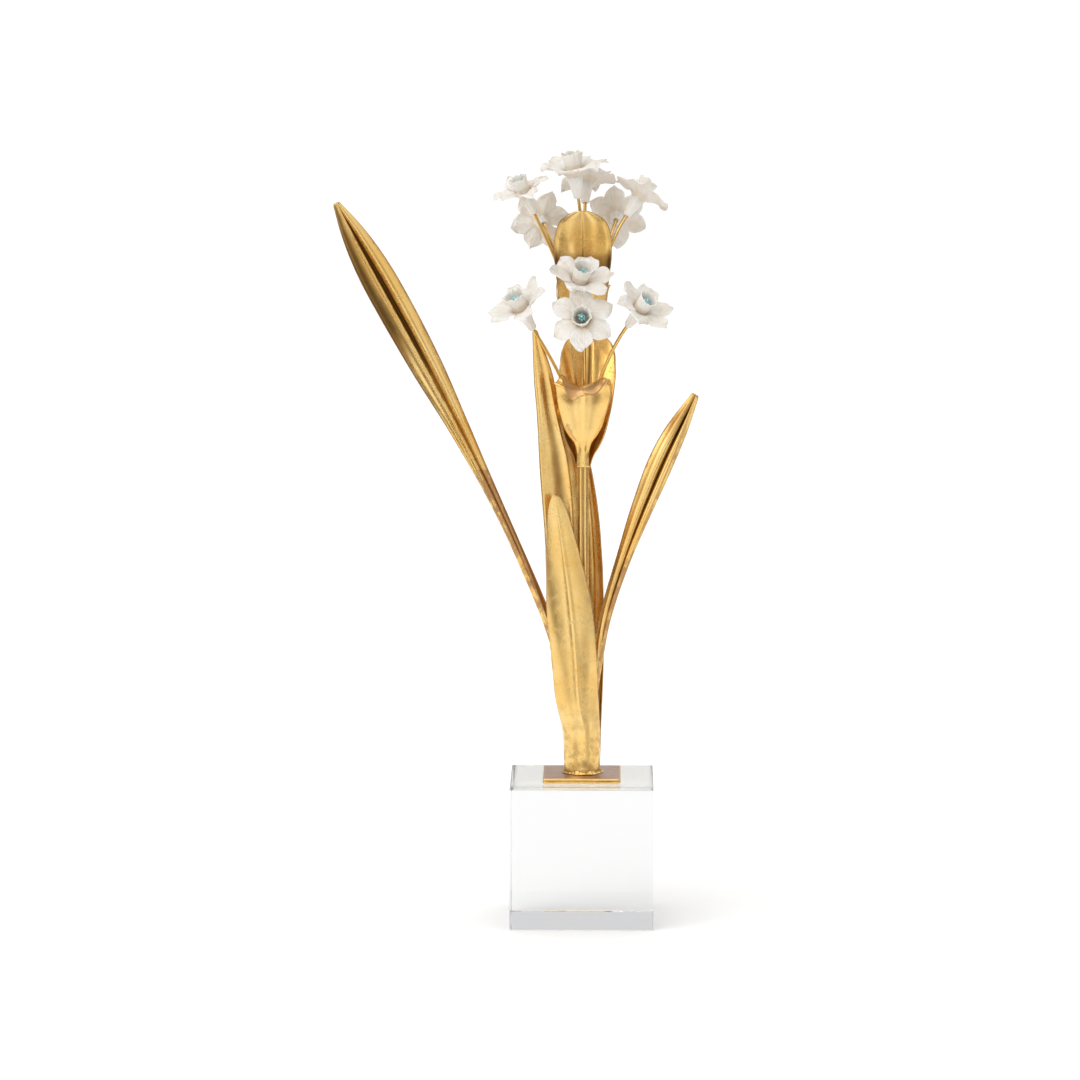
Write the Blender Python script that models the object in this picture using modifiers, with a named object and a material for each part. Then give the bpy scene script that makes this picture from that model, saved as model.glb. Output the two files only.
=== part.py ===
"""Gilded paperwhite narcissus ornament on a clear block.

The leaves, stems and bracts are sheet metal, the pedicels are wire, the blooms are bisque porcelain with
turquoise stamens, and the bundle stands on a small plate on a clear block.

Frame: metres, +Z up, origin at the middle of the block's underside, the ornament's front towards -Y.
"""
import math
import random

import bmesh
import bpy
import numpy as np
from mathutils import Matrix, Vector

MM = 0.001
OBJECT_NAME = "gilded_paperwhite"

# Clearances between pieces that touch
SEAT = 0.3 * MM

# Clear block and mounting plate
BLOCK_WIDTH = 76.2 * MM
BLOCK_HEIGHT = 75.3 * MM
BLOCK_BEVEL = 1.0 * MM
PLATE_WIDTH = 41.4 * MM
PLATE_THICKNESS = 2.8 * MM
PLATE_CORNER = 1.6 * MM
PLATE_EDGE = 0.4 * MM
PLATE_BOTTOM = BLOCK_HEIGHT + SEAT
PLATE_TOP = PLATE_BOTTOM + PLATE_THICKNESS
FOOT = PLATE_TOP + SEAT

# Bundle of leaves on the plate
BUNDLE_RADIUS = 8.9 * MM
LEAF_THICKNESS = 0.9 * MM
BRACT_THICKNESS = 0.8 * MM
BEAD_WIDTH = 1.7 * MM
BEAD_HEIGHT = 1.5 * MM
BEAD_SIDES = 18
BEAD_GAP = 0.65 * MM

# Stems: half width, half depth and number of ribs round them
STEM_HALF_WIDTH = 3.0 * MM
STEM_HALF_DEPTH = 2.2 * MM
STEM_RIBS = 6
STEM_RIB_HEIGHT = 0.16 * MM
STEM_SIDES = 24

# Wire pedicels
PEDICEL_RADIUS = 0.9 * MM
PEDICEL_POINTS = 7
PEDICEL_SIDES = 8
PEDICEL_SEAT = 0.5 * MM
STRAIGHT_END = 1.2 * MM
SOCKET_DEPTH = 2.6 * MM

# Bloom, from the foot of its tube along its own axis
TUBE_LENGTH = 15.0 * MM
CUP_LENGTH = 9.6 * MM
THROAT_FLOOR = 11.4 * MM
TEPAL_COUNT = 6
TEPAL_REACH = 17.6 * MM
TEPAL_HALF_WIDTH = 6.0 * MM
TEPAL_LAYER = 0.75 * MM
TEPAL_THICKNESS = 0.9 * MM
TEPAL_ROOT = 3.4 * MM
TEPAL_ROWS = 5
TEPAL_COLUMNS = 2
BLOOM_SIDES = 12
CUP_RUFFLE = 0.05

# Stamens in the throat
STAMEN_COUNT = 5
STAMEN_SIDES = 4
STAMEN_RADIUS = 0.45 * MM
STAMEN_LENGTH = 6.4 * MM
STAMEN_DISC_RADIUS = 1.4 * MM
STAMEN_DISC_HEIGHT = 0.8 * MM
STAMEN_DISC_SIDES = 8
STAMEN_RING = 0.85 * MM
STAMEN_LEAN = 9.0

# Leaves and bracts. Lengths are in millimetres, angles in degrees, and the first number of each entry is the
# place along the blade, from 0 at its foot to 1 at its tip. "spine" is the line of the middle ridge (x, y, z),
# "width" the flat width of the sheet, "wrap" how far the sheet is rolled (over 0: bulges forward, under 0:
# hollow in front), "turn" how far its right edge is turned back, "groove" the depth of two lengthwise grooves.
LEAF_SHAPES = {
    "leaf_front": {
        "spine": [(0.0, 0.0, -8.9, 78.7), (0.14, -0.3, -9.2, 100.0), (0.29, -2.9, -10.0, 122.0),
                  (0.40, -4.0, -10.6, 139.0), (0.63, -7.2, -11.4, 173.0), (0.77, -9.6, -11.6, 193.0),
                  (0.86, -11.4, -11.4, 207.0), (1.0, -14.3, -10.8, 228.6)],
        "width": [(0.0, 27.5), (0.14, 27.0), (0.29, 26.4), (0.40, 26.0), (0.63, 24.2), (0.77, 18.6),
                  (0.86, 14.6), (0.93, 10.6), (1.0, 3.6)],
        "wrap": [(0.0, 174), (0.14, 162), (0.29, 118), (0.40, 96), (0.63, 70), (0.86, 52), (1.0, 30)],
        "turn": [(0.0, 0), (1.0, 0)],
        "groove": 0.0,
    },
    "leaf_back": {
        "spine": [(0.0, 0.0, 8.9, 78.7), (0.14, 0.2, 10.6, 104.0), (0.33, 0.6, 13.6, 139.0),
                  (0.62, 1.0, 18.2, 192.0), (0.77, 0.0, 19.2, 219.0), (0.91, -2.0, 19.6, 245.0),
                  (1.0, -3.4, 19.6, 262.0)],
        "width": [(0.0, 27.5), (0.14, 26.5), (0.33, 25.0), (0.62, 20.0), (0.77, 16.6), (0.91, 10.8),
                  (1.0, 3.0)],
        "wrap": [(0.0, -174), (0.14, -150), (0.33, -112), (0.62, -76), (1.0, -50)],
        "turn": [(0.0, 0), (1.0, 0)],
        "groove": 0.0,
    },
    "leaf_left": {
        "spine": [(0.0, -4.9, -0.4, 78.7), (0.07, -5.2, -0.3, 100.0), (0.15, -8.4, 0.0, 126.0),
                  (0.25, -17.4, 0.5, 157.0), (0.38, -34.3, 1.6, 198.2), (0.555, -59.8, 3.4, 252.0),
                  (0.73, -87.8, 5.4, 305.5), (0.87, -111.4, 7.2, 348.3), (1.0, -130.2, 8.8, 381.6)],
        "width": [(0.0, 7.0), (0.15, 7.0), (0.30, 6.2), (0.42, 6.0), (0.50, 7.6), (0.60, 11.6), (0.70, 16.6),
                  (0.80, 18.6), (0.88, 16.8), (0.95, 10.6), (1.0, 3.0)],
        "wrap": [(0.0, 170), (0.30, 150), (0.42, 120), (0.60, 62), (0.80, 44), (1.0, 40)],
        "turn": [(0.0, 0), (1.0, 8)],
        "groove": 1.1,
    },
    "leaf_right": {
        "spine": [(0.0, 4.9, -0.4, 78.7), (0.16, 5.3, -0.5, 116.0), (0.28, 7.9, -0.8, 138.0),
                  (0.37, 10.8, -1.1, 155.5), (0.57, 21.4, -2.2, 192.6), (0.73, 33.0, -3.2, 225.0),
                  (0.87, 44.5, -4.2, 252.6), (1.0, 59.6, -5.2, 281.6)],
        "width": [(0.0, 7.0), (0.28, 6.8), (0.45, 7.0), (0.57, 8.0), (0.73, 12.0), (0.83, 13.4), (0.91, 11.6),
                  (1.0, 3.6)],
        "wrap": [(0.0, 170), (0.28, 150), (0.45, 110), (0.73, 60), (1.0, 40)],
        "turn": [(0.0, 0), (1.0, -16)],
        "groove": 0.9,
    },
    "leaf_centre": {
        "spine": [(0.0, -5.7, -4.1, 78.7), (0.10, -5.9, -4.3, 100.0), (0.15, -6.9, -4.6, 112.0),
                  (0.26, -9.2, -4.9, 139.0), (0.40, -10.7, -4.5, 173.0), (0.47, -10.4, -3.6, 191.0),
                  (0.54, -10.0, -3.3, 207.0), (0.695, -12.9, -3.2, 243.0), (0.82, -17.7, -3.1, 272.5),
                  (0.90, -20.2, -3.6, 290.0), (1.0, -25.0, -4.4, 315.4)],
        "width": [(0.0, 6.4), (0.14, 7.6), (0.26, 11.0), (0.40, 14.6), (0.47, 17.4), (0.54, 20.0),
                  (0.695, 19.2), (0.82, 12.4), (0.90, 10.2), (1.0, 2.0)],
        "wrap": [(0.0, 55), (0.26, 40), (0.54, 50), (1.0, 40)],
        "turn": [(0.0, -58), (0.14, -34), (0.26, -10), (0.40, 6), (0.47, 20), (0.54, 27), (0.695, 22),
                 (0.9, 14), (1.0, 10)],
        "groove": 0.8,
    },
}
LEAF_ROWS = 20
LEAF_COLUMNS = 6

# The bracts of the two heads. Their x, y and z run from the top of the stem, with z along the stem.
SHORT_BRACT = {
    "spine": [(0.0, 0.0, -3.2, -13.0), (0.16, 0.0, -3.4, -4.0), (0.38, 0.0, -6.2, 8.0), (0.58, 0.0, -9.2, 20.0),
              (0.74, 0.0, -11.2, 30.4), (0.82, -0.6, -13.2, 33.4), (0.90, -1.4, -16.6, 32.4),
              (1.0, -2.2, -20.0, 27.4)],
    "width": [(0.0, 9.4), (0.16, 9.8), (0.26, 13.6), (0.38, 21.6), (0.58, 31.0), (0.74, 35.0), (0.82, 35.0),
              (0.90, 27.0), (1.0, 5.0)],
    "wrap": [(0.0, 128), (0.16, 124), (0.26, 116), (0.58, 92), (0.74, 74), (0.82, 40), (1.0, 12)],
    "turn": [(0.0, 0), (1.0, 0)],
    "groove": 0.0,
}
TALL_BRACT = {
    "spine": [(0.0, 0.0, 3.2, -14.0), (0.17, 0.3, 3.8, -2.0), (0.37, 1.1, 6.0, 14.0), (0.58, 2.0, 8.4, 29.0),
              (0.78, 2.6, 10.8, 43.0), (1.0, 2.9, 14.6, 56.6)],
    "width": [(0.0, 9.4), (0.08, 12.4), (0.20, 22.0), (0.37, 29.0), (0.58, 33.0), (0.74, 32.0), (0.85, 27.4),
              (0.93, 20.6), (0.98, 12.0), (1.0, 6.6)],
    "wrap": [(0.0, -128), (0.12, -110), (0.37, -84), (0.58, -72), (1.0, -46)],
    "turn": [(0.0, 0), (1.0, 0)],
    "groove": 0.0,
}
REAR_SHORT_BRACT = {
    "spine": SHORT_BRACT["spine"],
    "width": [(0.0, 9.4), (0.16, 9.8), (0.26, 13.0), (0.38, 19.4), (0.58, 27.4), (0.74, 30.8), (0.82, 30.8),
              (0.90, 24.0), (1.0, 5.0)],
    "wrap": SHORT_BRACT["wrap"],
    "turn": SHORT_BRACT["turn"],
    "groove": 0.0,
}
REAR_TALL_BRACT = {
    "spine": [(0.0, 0.0, 3.2, -13.0), (0.15, 0.0, 3.5, 0.0), (0.30, 0.0, 5.0, 13.0), (0.50, 0.0, 7.3, 31.0),
              (0.68, 0.0, 9.0, 47.0), (0.80, 0.0, 12.0, 57.0), (1.0, 0.3, 18.5, 72.0)],
    "width": [(0.0, 9.4), (0.08, 12.4), (0.18, 17.6), (0.30, 22.8), (0.45, 26.6), (0.58, 29.4), (0.68, 31.0),
              (0.80, 30.2), (0.88, 26.6), (0.94, 20.6), (0.98, 12.0), (1.0, 6.6)],
    "wrap": [(0.0, -128), (0.12, -110), (0.30, -84), (0.68, -66), (1.0, -40)],
    "turn": [(0.0, 0), (1.0, 0)],
    "groove": 0.0,
}
BRACT_ROWS = 14
BRACT_COLUMNS = 6

# The rows of a sheet stand closer together towards its tip
ROW_EASE = 1.15

# Stems: foot and top of the middle line, in millimetres. The rear head faces away, so its bracts are turned
# round, and its short bract is a little narrower.
STEMS = {
    "front": {"foot": (0.4, -4.0, 78.7), "top": (0.4, -4.0, 256.5), "turned": False},
    "rear": {"foot": (0.0, 4.0, 78.7), "top": (0.1, 17.6, 305.0), "turned": True},
}

# Blooms: the head's stem, the pedicel's foot on the stem top (x, y), the foot of the tube (x, y, z), the
# direction that the bloom faces, its turn about that direction in degrees, how flat its tepals lie (1 is flat)
# and its size.
BLOOMS = {
    "front_left": ("front", (-1.15, -1.0), (-26.0, -8.0, 317.0), (-0.44, -0.42, 0.79), 24, 0.70, 1.0),
    "front_upper": ("front", (-1.15, 1.1), (-4.9, -5.0, 331.0), (0.24, -0.52, 0.82), 53, 0.78, 1.03),
    "front_lower": ("front", (1.15, -1.0), (0.6, -10.0, 318.6), (-0.04, -0.94, 0.34), 31, 1.0, 0.98),
    "front_right": ("front", (1.15, 1.1), (23.9, -12.0, 319.0), (0.50, -0.52, 0.70), 42, 0.80, 0.96),
    "rear_left": ("rear", (-2.2, -1.1), (-25.8, 15.8, 376.0), (-0.41, -0.28, 0.87), 41, 0.83, 0.92),
    "rear_left_back": ("rear", (-2.2, 1.1), (-20.9, 27.6, 369.1), (-0.15, 0.98, 0.07), 52, 1.0, 0.91),
    "rear_top": ("rear", (0.0, -1.1), (-2.3, 15.4, 384.0), (-0.15, -0.12, 0.98), 2, 0.83, 1.05),
    "rear_top_back": ("rear", (0.0, 1.1), (1.2, 27.0, 380.6), (0.04, 0.46, 0.89), 20, 1.0, 0.95),
    "rear_right": ("rear", (2.2, -1.1), (23.0, 22.0, 374.0), (0.52, 0.34, 0.78), 26, 0.84, 0.97),
    "rear_right_back": ("rear", (2.2, 1.1), (17.6, 30.0, 371.0), (0.04, 0.99, 0.10), 24, 1.0, 0.94),
}

# Colours of the slots: linear red, green, blue, then metallic, roughness and transmission
COLOURS = {
    "clear_block": ((0.93, 0.95, 0.95, 1.0), 0.0, 0.03, 1.0),
    "gilt": ((0.78, 0.50, 0.17, 1.0), 1.0, 0.34, 0.0),
    "solder": ((0.62, 0.40, 0.15, 1.0), 1.0, 0.45, 0.0),
    "porcelain": ((0.84, 0.80, 0.73, 1.0), 0.0, 0.62, 0.0),
    "turquoise": ((0.14, 0.55, 0.58, 1.0), 0.0, 0.45, 0.0),
}


def clear_scene():
    """Remove what a new file holds."""
    for item in list(bpy.data.objects):
        bpy.data.objects.remove(item, do_unlink=True)


def new_collection(name):
    """A collection in the scene."""
    collection = bpy.data.collections.new(name)
    bpy.context.scene.collection.children.link(collection)
    return collection


def material(slot):
    """The plain material of a slot, made once."""
    if slot in bpy.data.materials:
        return bpy.data.materials[slot]
    colour, metallic, roughness, transmission = COLOURS[slot]
    item = bpy.data.materials.new(slot)
    item.use_nodes = True
    shader = item.node_tree.nodes["Principled BSDF"]
    shader.inputs["Base Color"].default_value = colour
    shader.inputs["Metallic"].default_value = metallic
    shader.inputs["Roughness"].default_value = roughness
    shader.inputs["Transmission Weight"].default_value = transmission
    return item


def add_object(name, mesh, slot, collection):
    """An object with a slot's material, in a collection."""
    item = bpy.data.objects.new(name, mesh)
    collection.objects.link(item)
    item.data.materials.clear()
    item.data.materials.append(material(slot))
    return item


def smooth(keys, place):
    """The value at a place on a smooth curve through keys of (place, value, ...)."""
    places = [key[0] for key in keys]
    values = np.array([key[1:] for key in keys], dtype=float)
    slopes = np.gradient(values, places, axis=0)
    index = min(max(int(np.searchsorted(places, place, side="right")) - 1, 0), len(keys) - 2)
    step = places[index + 1] - places[index]
    u = (place - places[index]) / step
    rise = values[index + 1] - values[index]
    start = slopes[index] * step
    end = slopes[index + 1] * step
    value = values[index] + u * start + u * u * (3 * rise - 2 * start - end)
    value = value + u ** 3 * (start + end - 2 * rise)
    return value if len(value) > 1 else float(value[0])


def blade_point(shape, along, across):
    """A point of a blade's middle surface: along runs 0..1 from foot to tip, across -1..1 from left to right."""
    centre = Vector(smooth(shape["spine"], along)) * MM
    nudge = 0.004
    before = Vector(smooth(shape["spine"], max(along - nudge, 0.0)))
    after = Vector(smooth(shape["spine"], min(along + nudge, 1.0)))
    rise = (after - before).normalized()
    turn = math.radians(smooth(shape["turn"], along))
    side = Vector((math.cos(turn), math.sin(turn), 0.0))
    side = (side - rise * side.dot(rise)).normalized()
    front = side.cross(rise)
    half = 0.5 * smooth(shape["width"], along) * MM
    wrap = math.radians(smooth(shape["wrap"], along))
    radius = 2.0 * half / wrap
    angle = across * half / radius
    groove = shape["groove"] * MM * half / (10.0 * MM)
    dent = groove * math.exp(-((abs(across) - 0.36) / 0.2) ** 2)
    return centre + side * radius * math.sin(angle) - front * (radius * (1.0 - math.cos(angle)) + dent)


def sheet_mesh(name, point, rows, columns, thickness):
    """A closed sheet of even thickness round the surface that point(along, across) gives."""
    mesh = bpy.data.meshes.new(name)
    form = bmesh.new()
    bmesh.ops.create_grid(form, x_segments=columns, y_segments=rows, size=1.0)
    for vertex in form.verts:
        along = 0.5 * (vertex.co.y + 1.0)
        vertex.co = point(1.0 - (1.0 - along) ** ROW_EASE, vertex.co.x)
    bmesh.ops.triangulate(form, faces=form.faces)
    form.to_mesh(mesh)
    form.free()
    scratch = bpy.data.objects.new(name, mesh)
    bpy.context.scene.collection.objects.link(scratch)
    solid = scratch.modifiers.new("thickness", "SOLIDIFY")
    solid.thickness = thickness
    solid.offset = 0.0
    solid.use_even_offset = True
    return applied(scratch, name)


def applied(item, name):
    """The mesh of an object with its modifiers applied, after which the object is removed."""
    bpy.context.view_layer.update()
    graph = bpy.context.evaluated_depsgraph_get()
    mesh = bpy.data.meshes.new_from_object(item.evaluated_get(graph))
    mesh.name = name
    bpy.data.objects.remove(item, do_unlink=True)
    return mesh


def joined(name, body, others):
    """The mesh of one body made of a mesh and a list of meshes that cross it, by one Boolean union."""
    group = new_collection("to_join")
    for mesh in others:
        group.objects.link(bpy.data.objects.new(mesh.name, mesh))
    main = bpy.data.objects.new(name, body)
    bpy.context.scene.collection.objects.link(main)
    union = main.modifiers.new("join", "BOOLEAN")
    union.operation = "UNION"
    union.operand_type = "COLLECTION"
    union.collection = group
    union.solver = "EXACT"
    mesh = applied(main, name)
    for item in list(group.objects):
        bpy.data.objects.remove(item, do_unlink=True)
    bpy.data.collections.remove(group)
    return mesh


def block(collection):
    """The clear block and the mounting plate glued on it."""
    bpy.ops.mesh.primitive_cube_add(size=1.0, location=(0.0, 0.0, 0.5 * BLOCK_HEIGHT))
    body = bpy.context.object
    body.name = "clear_block"
    body.scale = (BLOCK_WIDTH, BLOCK_WIDTH, BLOCK_HEIGHT)
    bpy.ops.object.transform_apply(location=False, rotation=False, scale=True)
    edge = body.modifiers.new("edges", "BEVEL")
    edge.width = BLOCK_BEVEL
    edge.segments = 2
    settle(body, "clear_block", collection)

    bpy.ops.mesh.primitive_cube_add(size=1.0, location=(0.0, 0.0, PLATE_BOTTOM + 0.5 * PLATE_THICKNESS))
    plate = bpy.context.object
    plate.name = "mounting_plate"
    plate.scale = (PLATE_WIDTH, PLATE_WIDTH, PLATE_THICKNESS)
    bpy.ops.object.transform_apply(location=False, rotation=False, scale=True)
    form = bmesh.new()
    form.from_mesh(plate.data)
    upright = [edge for edge in form.edges if abs(edge.verts[0].co.z - edge.verts[1].co.z) > PLATE_EDGE]
    bmesh.ops.bevel(form, geom=upright, offset=PLATE_CORNER, segments=3, profile=0.5, affect="EDGES")
    form.to_mesh(plate.data)
    form.free()
    edge = plate.modifiers.new("edges", "BEVEL")
    edge.width = PLATE_EDGE
    edge.segments = 1
    edge.limit_method = "ANGLE"
    edge.angle_limit = math.radians(60)
    settle(plate, "gilt", collection)


def settle(item, slot, collection):
    """Move a primitive into the object's collection and give it its material."""
    for old in list(item.users_collection):
        old.objects.unlink(item)
    collection.objects.link(item)
    item.data.materials.clear()
    item.data.materials.append(material(slot))


def leaves(collection):
    """The five leaves that stand on the plate."""
    for name, shape in LEAF_SHAPES.items():
        mesh = sheet_mesh(name, lambda along, across: blade_point(shape, along, across),
                          LEAF_ROWS, LEAF_COLUMNS, LEAF_THICKNESS)
        add_object(name, mesh, "gilt", collection)


def stem(name, foot, top, collection):
    """A stem of ribbed section from its foot to its top."""
    mesh = bpy.data.meshes.new(name)
    form = bmesh.new()
    rings = []
    for centre in (foot, top):
        ring = []
        for side in range(STEM_SIDES):
            angle = 2.0 * math.pi * side / STEM_SIDES
            rib = STEM_RIB_HEIGHT * math.cos(STEM_RIBS * angle)
            across = (STEM_HALF_WIDTH + rib) * math.sin(angle)
            back = -(STEM_HALF_DEPTH + rib) * math.cos(angle)
            ring.append(form.verts.new((centre.x + across, centre.y + back, centre.z)))
        rings.append(ring)
    for side in range(STEM_SIDES):
        after = (side + 1) % STEM_SIDES
        form.faces.new((rings[0][side], rings[0][after], rings[1][after], rings[1][side]))
    form.faces.new(reversed(rings[0]))
    form.faces.new(rings[-1])
    bmesh.ops.recalc_face_normals(form, faces=form.faces)
    form.to_mesh(mesh)
    form.free()
    add_object(name, mesh, "gilt", collection)


def bract(name, shape, foot, top, turned, collection):
    """A bract about the top of a stem, turned half round on the head that faces away."""
    mesh = sheet_mesh(name, lambda along, across: blade_point(shape, along, across),
                      BRACT_ROWS, BRACT_COLUMNS, BRACT_THICKNESS)
    item = add_object(name, mesh, "gilt", collection)
    lean = Vector((0.0, 0.0, 1.0)).rotation_difference(top - foot).to_matrix().to_4x4()
    half_turn = Matrix.Rotation(math.pi if turned else 0.0, 4, "Z")
    item.matrix_world = Matrix.Translation(top) @ lean @ half_turn


def heads(collection):
    """The two stems with their bracts."""
    for head, data in STEMS.items():
        foot = Vector(data["foot"]) * MM
        top = Vector(data["top"]) * MM
        stem(f"{head}_stem", foot, top, collection)
        tall = REAR_TALL_BRACT if data["turned"] else TALL_BRACT
        short = REAR_SHORT_BRACT if data["turned"] else SHORT_BRACT
        bract(f"{head}_short_bract", short, foot, top, data["turned"], collection)
        bract(f"{head}_tall_bract", tall, foot, top, data["turned"], collection)


def solder_bead(collection):
    """The low bead of solder round the foot of the bundle."""
    inner = BUNDLE_RADIUS + 0.5 * LEAF_THICKNESS + BEAD_GAP
    outline = [(inner + 0.3 * MM, BEAD_HEIGHT), (inner + 0.45 * BEAD_WIDTH, 0.7 * BEAD_HEIGHT),
               (inner + BEAD_WIDTH, 0.25 * BEAD_HEIGHT), (inner + BEAD_WIDTH, 0.0), (inner, 0.0),
               (inner, BEAD_HEIGHT)]
    outline = [(radius, FOOT + height) for radius, height in outline]
    mesh = turned_mesh("solder_bead", outline, BEAD_SIDES, closed=True)
    add_object("solder_bead", mesh, "solder", collection)


def turned_mesh(name, outline, sides, closed=False):
    """A body turned round Z from an outline of (radius, height) that runs down the outer side."""
    mesh = bpy.data.meshes.new(name)
    count = len(outline)
    edges = [(index, index + 1) for index in range(count - 1)]
    if closed:
        edges.append((count - 1, 0))
    mesh.from_pydata([(radius, 0.0, height) for radius, height in outline], edges, [])
    scratch = bpy.data.objects.new(name, mesh)
    bpy.context.scene.collection.objects.link(scratch)
    screw = scratch.modifiers.new("turn", "SCREW")
    screw.steps = sides
    screw.render_steps = sides
    screw.use_merge_vertices = True
    screw.merge_threshold = 0.00001
    screw.use_smooth_shade = False
    return applied(scratch, name)


def bloom_core(size):
    """The tube and the cup of a bloom, with its throat and the socket for its pedicel."""
    top = TUBE_LENGTH + CUP_LENGTH
    outer = [(0.0, THROAT_FLOOR), (2.1 * MM, THROAT_FLOOR), (2.7 * MM, TUBE_LENGTH + 1.0 * MM),
             (4.1 * MM, TUBE_LENGTH + 0.62 * CUP_LENGTH), (5.2 * MM, top), (6.0 * MM, top - 0.2 * MM),
             (5.1 * MM, TUBE_LENGTH + 0.62 * CUP_LENGTH), (3.8 * MM, TUBE_LENGTH + 1.6 * MM),
             (4.4 * MM, TUBE_LENGTH - 1.4 * MM), (3.3 * MM, 0.55 * TUBE_LENGTH), (2.1 * MM, 0.0)]
    socket = PEDICEL_RADIUS + SEAT
    outline = [(radius * size, height * size) for radius, height in outer]
    outline += [(socket, 0.0), (socket, SOCKET_DEPTH), (0.0, SOCKET_DEPTH)]
    mesh = turned_mesh("core", outline, BLOOM_SIDES)
    for vertex in mesh.vertices:
        rise = (vertex.co.z / size - TUBE_LENGTH) / CUP_LENGTH
        if rise > 0.3:
            angle = math.atan2(vertex.co.y, vertex.co.x)
            ruffle = 1.0 + CUP_RUFFLE * rise * math.cos(0.5 * BLOOM_SIDES * angle)
            vertex.co.x *= ruffle
            vertex.co.y *= ruffle
    return mesh


def tepal_point(along, across, reach, flat, sway, layer):
    """A point of a tepal's middle surface before it is turned to its place, out along X from the tube."""
    radius = TEPAL_ROOT + along * (reach - TEPAL_ROOT)
    half = TEPAL_HALF_WIDTH * math.sin(math.pi * (0.13 + 0.84 * along))
    lift = (1.0 - flat) * 1.2 * reach * along ** 2
    wave = sway * MM * along * math.sin(2.0 * math.pi * along) * across
    crease = 0.9 * MM * abs(across) * math.sin(math.pi * min(1.0, along + 0.12))
    height = TUBE_LENGTH + layer + lift + wave + crease - 1.6 * MM * along ** 3
    return Vector((radius, half * across, height))


def bloom(name, spec, collection):
    """A porcelain bloom: tube, cup and six tepals in one body, and its cluster of stamens."""
    _, _, foot, facing, roll, flat, size = spec
    draw = random.Random(name)
    tepals = []
    for number in range(TEPAL_COUNT):
        reach = TEPAL_REACH * draw.uniform(0.94, 1.03)
        own_flat = flat + draw.uniform(-0.12, 0.10)
        sway = draw.uniform(-1.1, 1.1)
        layer = -TEPAL_LAYER if number % 2 else TEPAL_LAYER
        mesh = sheet_mesh("tepal",
                          lambda along, across: tepal_point(along, across, reach, own_flat, sway, layer),
                          TEPAL_ROWS, TEPAL_COLUMNS, TEPAL_THICKNESS)
        turn = Matrix.Rotation(math.radians(60.0 * number + draw.uniform(-4.0, 4.0)), 4, "Z")
        mesh.transform(Matrix.Scale(size, 4) @ turn)
        tepals.append(mesh)
    mesh = joined(f"{name}_bloom", bloom_core(size), tepals)
    body = add_object(f"{name}_bloom", mesh, "porcelain", collection)
    place = placement(foot, facing, roll)
    body.matrix_world = place
    cluster = add_object(f"{name}_stamens", stamen_mesh(f"{name}_stamens", size), "turquoise", collection)
    cluster.matrix_world = place


def placement(foot, facing, roll):
    """The matrix that stands a bloom's axis on its foot in the direction that it faces."""
    turn = Vector(facing).normalized().to_track_quat("Z", "Y").to_matrix().to_4x4()
    return Matrix.Translation(Vector(foot) * MM) @ turn @ Matrix.Rotation(math.radians(roll), 4, "Z")


def stamen_mesh(name, size):
    """A ring of stamens round a style, on one small disc, along the bloom's own axis."""
    floor = THROAT_FLOOR * size + SEAT
    disc = rod_mesh("disc", STAMEN_DISC_RADIUS, STAMEN_DISC_RADIUS, STAMEN_DISC_HEIGHT, STAMEN_DISC_SIDES)
    disc.transform(Matrix.Translation((0.0, 0.0, floor)))
    rods = []
    for number in range(STAMEN_COUNT + 1):
        centre = number == STAMEN_COUNT
        length = STAMEN_LENGTH * (1.15 if centre else 1.0)
        rod = rod_mesh("rod", 0.8 * STAMEN_RADIUS, 1.15 * STAMEN_RADIUS, length, STAMEN_SIDES)
        if not centre:
            lean = Matrix.Rotation(math.radians(STAMEN_LEAN), 4, "Y")
            angle = Matrix.Rotation(2.0 * math.pi * number / STAMEN_COUNT, 4, "Z")
            rod.transform(angle @ Matrix.Translation((STAMEN_RING, 0.0, 0.0)) @ lean)
        rod.transform(Matrix.Translation((0.0, 0.0, floor + 0.5 * STAMEN_DISC_HEIGHT)))
        rods.append(rod)
    return joined(name, disc, rods)


def rod_mesh(name, lower, upper, length, sides):
    """A round rod along Z from the origin, wider or narrower at its top."""
    mesh = bpy.data.meshes.new(name)
    form = bmesh.new()
    bmesh.ops.create_cone(form, cap_ends=True, segments=sides, radius1=lower, radius2=upper, depth=length)
    bmesh.ops.translate(form, verts=form.verts, vec=(0.0, 0.0, 0.5 * length))
    form.to_mesh(mesh)
    form.free()
    return mesh


def pedicel(name, spec, collection):
    """The wire from the top of a stem into the socket in the foot of a bloom."""
    head, step, foot, facing = spec[:4]
    top = Vector(STEMS[head]["top"]) * MM
    out = Vector(facing).normalized()
    start = top + Vector((step[0] * MM, step[1] * MM, PEDICEL_SEAT))
    end = Vector(foot) * MM + out * (SOCKET_DEPTH - SEAT)
    bent = Vector(foot) * MM - out * STRAIGHT_END
    span = (bent - start).length
    lean = Vector((0.34 * (bent - start).x, 0.2 * (bent - start).y, (bent - start).z)).normalized()
    handle_start = start + lean * 0.42 * span
    handle_end = bent - out * (0.08 + 0.14 * out.dot((bent - start).normalized())) * span
    curve = bpy.data.curves.new(name, "CURVE")
    curve.dimensions = "3D"
    curve.bevel_depth = PEDICEL_RADIUS
    curve.bevel_resolution = PEDICEL_SIDES // 4
    curve.use_fill_caps = True
    line = curve.splines.new("POLY")
    line.points.add(PEDICEL_POINTS - 1)
    for index in range(PEDICEL_POINTS - 1):
        t = index / (PEDICEL_POINTS - 2)
        place = (start * (1 - t) ** 3 + handle_start * 3 * t * (1 - t) ** 2
                 + handle_end * 3 * t * t * (1 - t) + bent * t ** 3)
        line.points[index].co = (*place, 1.0)
    line.points[PEDICEL_POINTS - 1].co = (*end, 1.0)
    item = bpy.data.objects.new(name, curve)
    item.data.materials.append(material("gilt"))
    collection.objects.link(item)


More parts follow.
